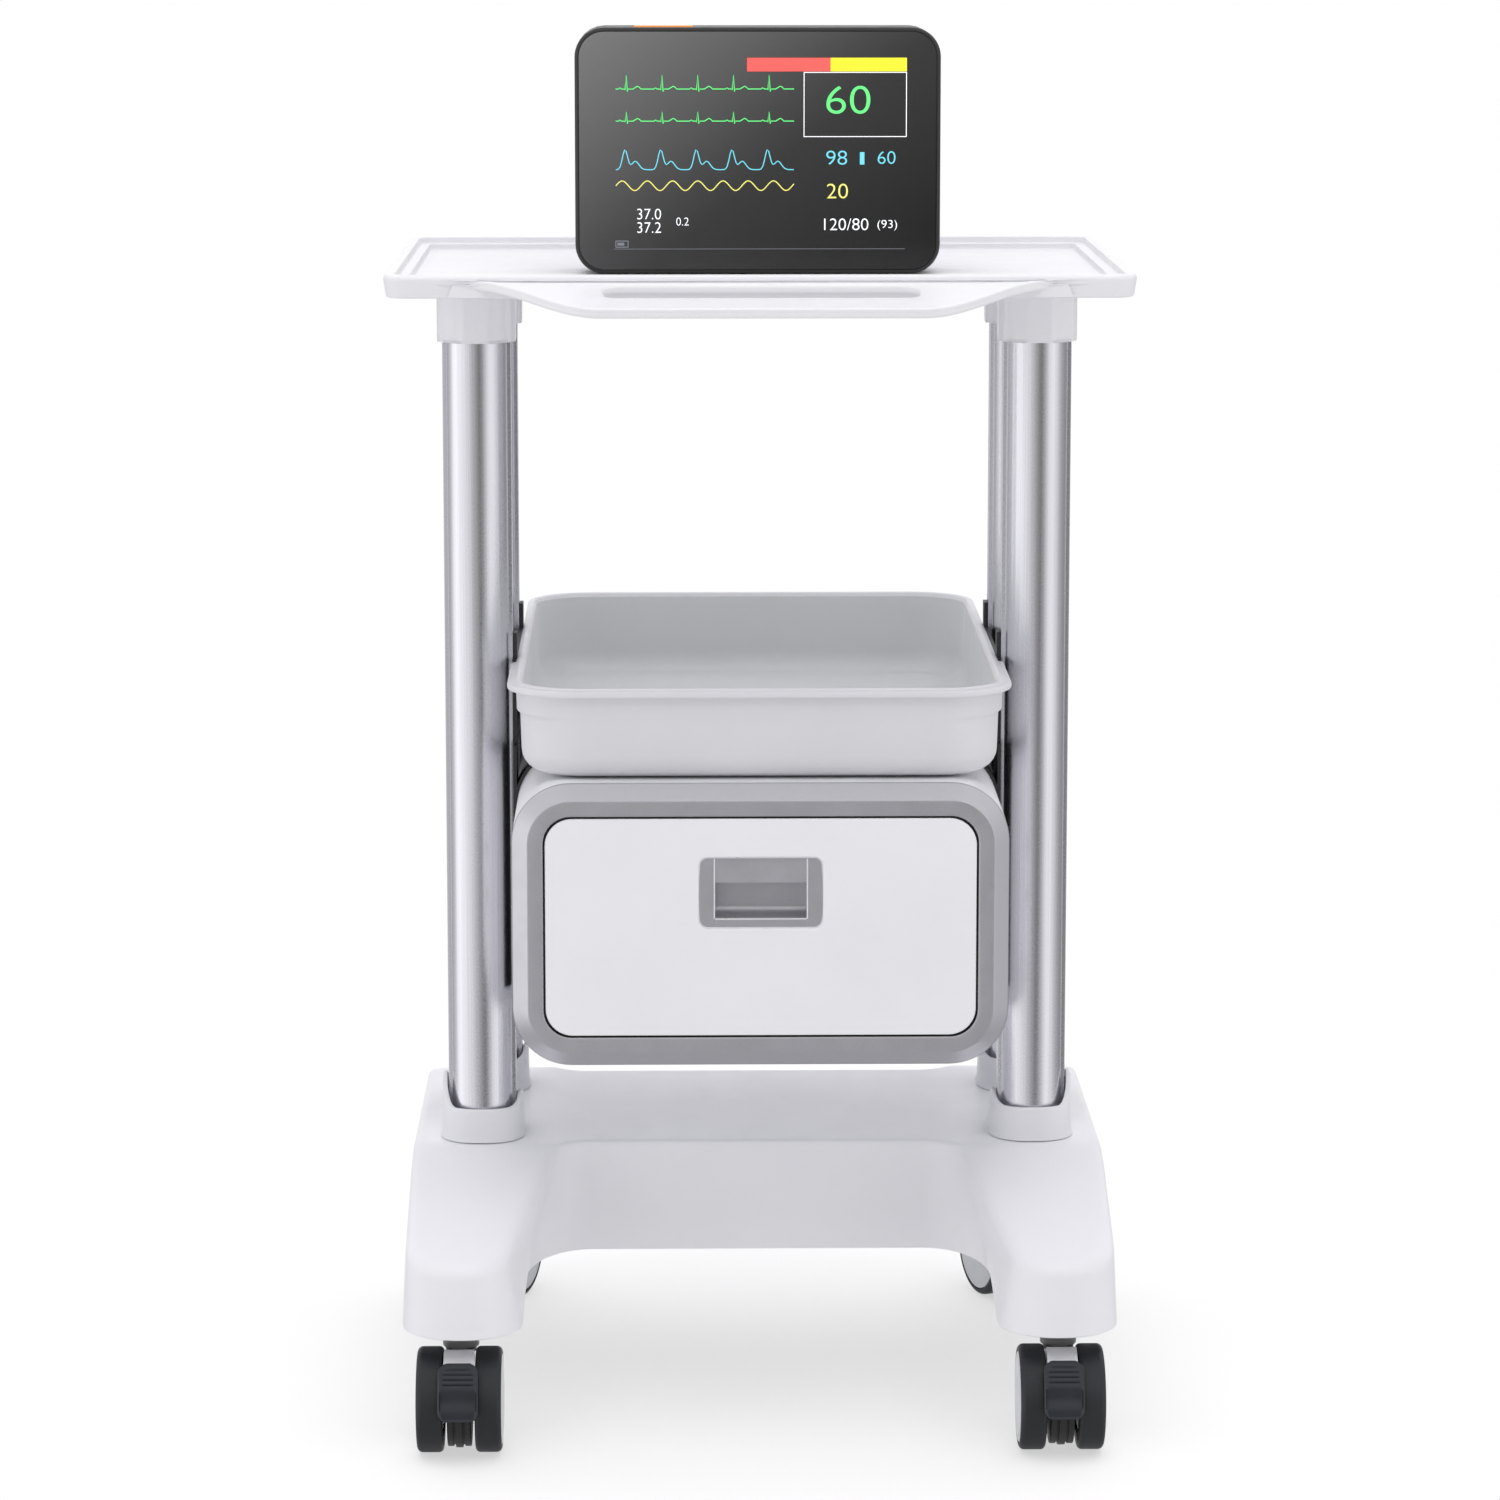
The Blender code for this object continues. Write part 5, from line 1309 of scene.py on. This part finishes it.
# ---------------------------------------------------------------- studio
def make_world():
    """White for the camera, even soft light, and banded reflections as of a photo studio."""
    world = bpy.data.worlds.new("studio")
    bpy.context.scene.world = world
    nodes = Nodes(world)
    parts = nodes.new("ShaderNodeSeparateXYZ")
    nodes.link(nodes.place.node.outputs["Generated"], parts.inputs["Vector"])
    ahead = nodes.maths("MULTIPLY", parts.outputs["Y"], -1.0)
    azimuth = nodes.maths("ARCTAN2", parts.outputs["X"], ahead)
    stops = [(-180, 1.10), (-166, 0.95), (-150, 0.35), (-122, 0.60), (-92, 1.40), (-60, 1.15),
             (-32, 0.90), (-8, 0.48), (14, 0.13), (28, 0.48), (44, 1.05), (60, 1.15), (80, 0.85),
             (104, 0.45), (132, 0.30), (150, 0.35), (166, 0.95), (180, 1.10)]
    bands = nodes.ramp(nodes.spread(azimuth, 0.0, 1.0, -math.pi, math.pi),
                       [((angle + 180.0) / 360.0, level) for angle, level in stops], 1.01, "EASE")
    high = nodes.spread(parts.outputs["Z"], 0.0, 1.0, 0.22, 0.45)
    low = nodes.spread(parts.outputs["Z"], 0.0, 1.0, -0.28, -0.60)
    banded = nodes.blend(high, bands, (0.85, 0.85, 0.86, 1.0))
    mirrored_room = nodes.blend(low, banded, (0.42, 0.42, 0.43, 1.0))
    rear = nodes.spread(parts.outputs["Y"], 0.0, 1.0, -0.75, 0.75)
    soft = nodes.ramp(rear, ((0.0, 0.50), (1.0, 1.20)), 1.02, "EASE")
    rays = nodes.new("ShaderNodeLightPath")

    def background(colour, strength=1.0):
        light = nodes.new("ShaderNodeBackground")
        light.inputs["Color"].default_value = (1.0, 1.0, 1.0, 1.0)
        light.inputs["Strength"].default_value = strength
        if colour:
            nodes.link(colour, light.inputs["Color"])
        return light.outputs["Background"]

    def chosen(ray, otherwise, then):
        mix = nodes.new("ShaderNodeMixShader")
        for value, socket in zip((rays.outputs[ray], otherwise, then), mix.inputs):
            nodes.link(value, socket)
        return mix.outputs[0]

    room = chosen("Is Glossy Ray", background(soft), background(mirrored_room))
    nodes.link(chosen("Is Camera Ray", room, background(None, 1.05)),
               nodes.tree.nodes["World Output"].inputs["Surface"])


def area_light(name, place, target, size, power):
    data = bpy.data.lights.new(name, "AREA")
    data.shape = "RECTANGLE"
    data.size, data.size_y = size
    data.energy = power
    lamp = add(name, data)
    lamp.location = place
    lamp.rotation_euler = (Vector(target) - Vector(place)).to_track_quat("-Z", "Y").to_euler()
    lamp.visible_glossy = False


def make_floor():
    """Pale seamless floor with a barely visible grain, evenly lit away from the cart."""
    nodes = new_material("floor_paint")
    nodes.link(nodes.blend(nodes.noise(3.0, 3.0), tone(0.93), tone(0.95)),
               nodes.shader.inputs["Base Color"])
    nodes.link(nodes.spread(nodes.noise(40.0, 2.0), 0.85, 0.95), nodes.shader.inputs["Roughness"])
    nodes.link(nodes.bump(nodes.noise(300.0, 2.0), 0.05, 0.0003), nodes.shader.inputs["Normal"])
    nodes.set(Specular_IOR_Level=0.1)
    reach = nodes.new("ShaderNodeVectorMath", operation="LENGTH")
    nodes.link(nodes.place, reach.inputs[0])
    far = nodes.spread(reach.outputs["Value"], 0.55, 1.0, 0.35, 1.6)
    even = nodes.new("ShaderNodeEmission")
    even.inputs["Strength"].default_value = 1.0
    mixed = nodes.new("ShaderNodeMixShader")
    nodes.link(far, mixed.inputs["Fac"])
    nodes.link(nodes.shader.outputs["BSDF"], mixed.inputs[1])
    nodes.link(even.outputs["Emission"], mixed.inputs[2])
    nodes.link(mixed.outputs["Shader"], nodes.tree.nodes["Material Output"].inputs["Surface"])
    ring = arc((0.0, 0.0), 60.0, 0, 360 - 360 / 96, 95)
    mesh = bpy.data.meshes.new("studio_floor")
    mesh.from_pydata([(x, y, FLOOR_Z - 0.0002) for x, y in ring], [], [tuple(range(len(ring)))])
    mesh.materials.append(nodes.owner)
    floor = add("studio_floor", mesh)
    floor.visible_glossy = False


def make_camera():
    data = bpy.data.cameras.new("camera")
    data.sensor_width = 36.0
    data.lens = 119.115
    data.shift_y = -0.07
    data.clip_end = 200.0
    camera = add("camera", data)
    camera.location = (-0.0635, -3.8175, 1.168)
    camera.rotation_euler = (math.radians(90.0 - 8.770), 0.0, -math.radians(0.8855))
    bpy.context.scene.camera = camera


def make_studio():
    make_world()
    make_floor()
    area_light("overhead", (0.0, -0.9, 3.1), (0.0, 0.0, 0.4), (3.0, 3.0), 43.0)
    area_light("left_softbox", (-2.8, -1.6, 1.5), (0.0, 0.0, 0.6), (1.4, 2.0), 9.0)
    area_light("right_softbox", (2.8, -1.6, 1.5), (0.0, 0.0, 0.6), (1.4, 2.0), 8.0)
    area_light("front_fill", (0.0, -4.4, 0.7), (0.0, 0.0, 0.2), (3.0, 1.2), 3.0)
    area_light("rear_fill", (0.0, 3.6, 0.9), (0.0, 0.0, 0.2), (3.0, 1.0), 26.0)
    make_camera()
    scene = bpy.context.scene
    scene.view_settings.view_transform = "Standard"
    scene.view_settings.look = "None"
    scene.cycles.use_denoising = True
    scene.cycles.denoising_prefilter = "ACCURATE"
    scene.cycles.denoising_input_passes = "RGB_ALBEDO"


# ---------------------------------------------------------------- the cart
make_studio()
finish_nodes()
make_base()
make_posts()
make_foot_collars()
make_head_collars()
make_shelf()
make_handle()
make_tray()
make_housing()
make_bezel()
make_drawer_front()
make_pull()
make_monitor_face()
make_screen_content()
make_casters()
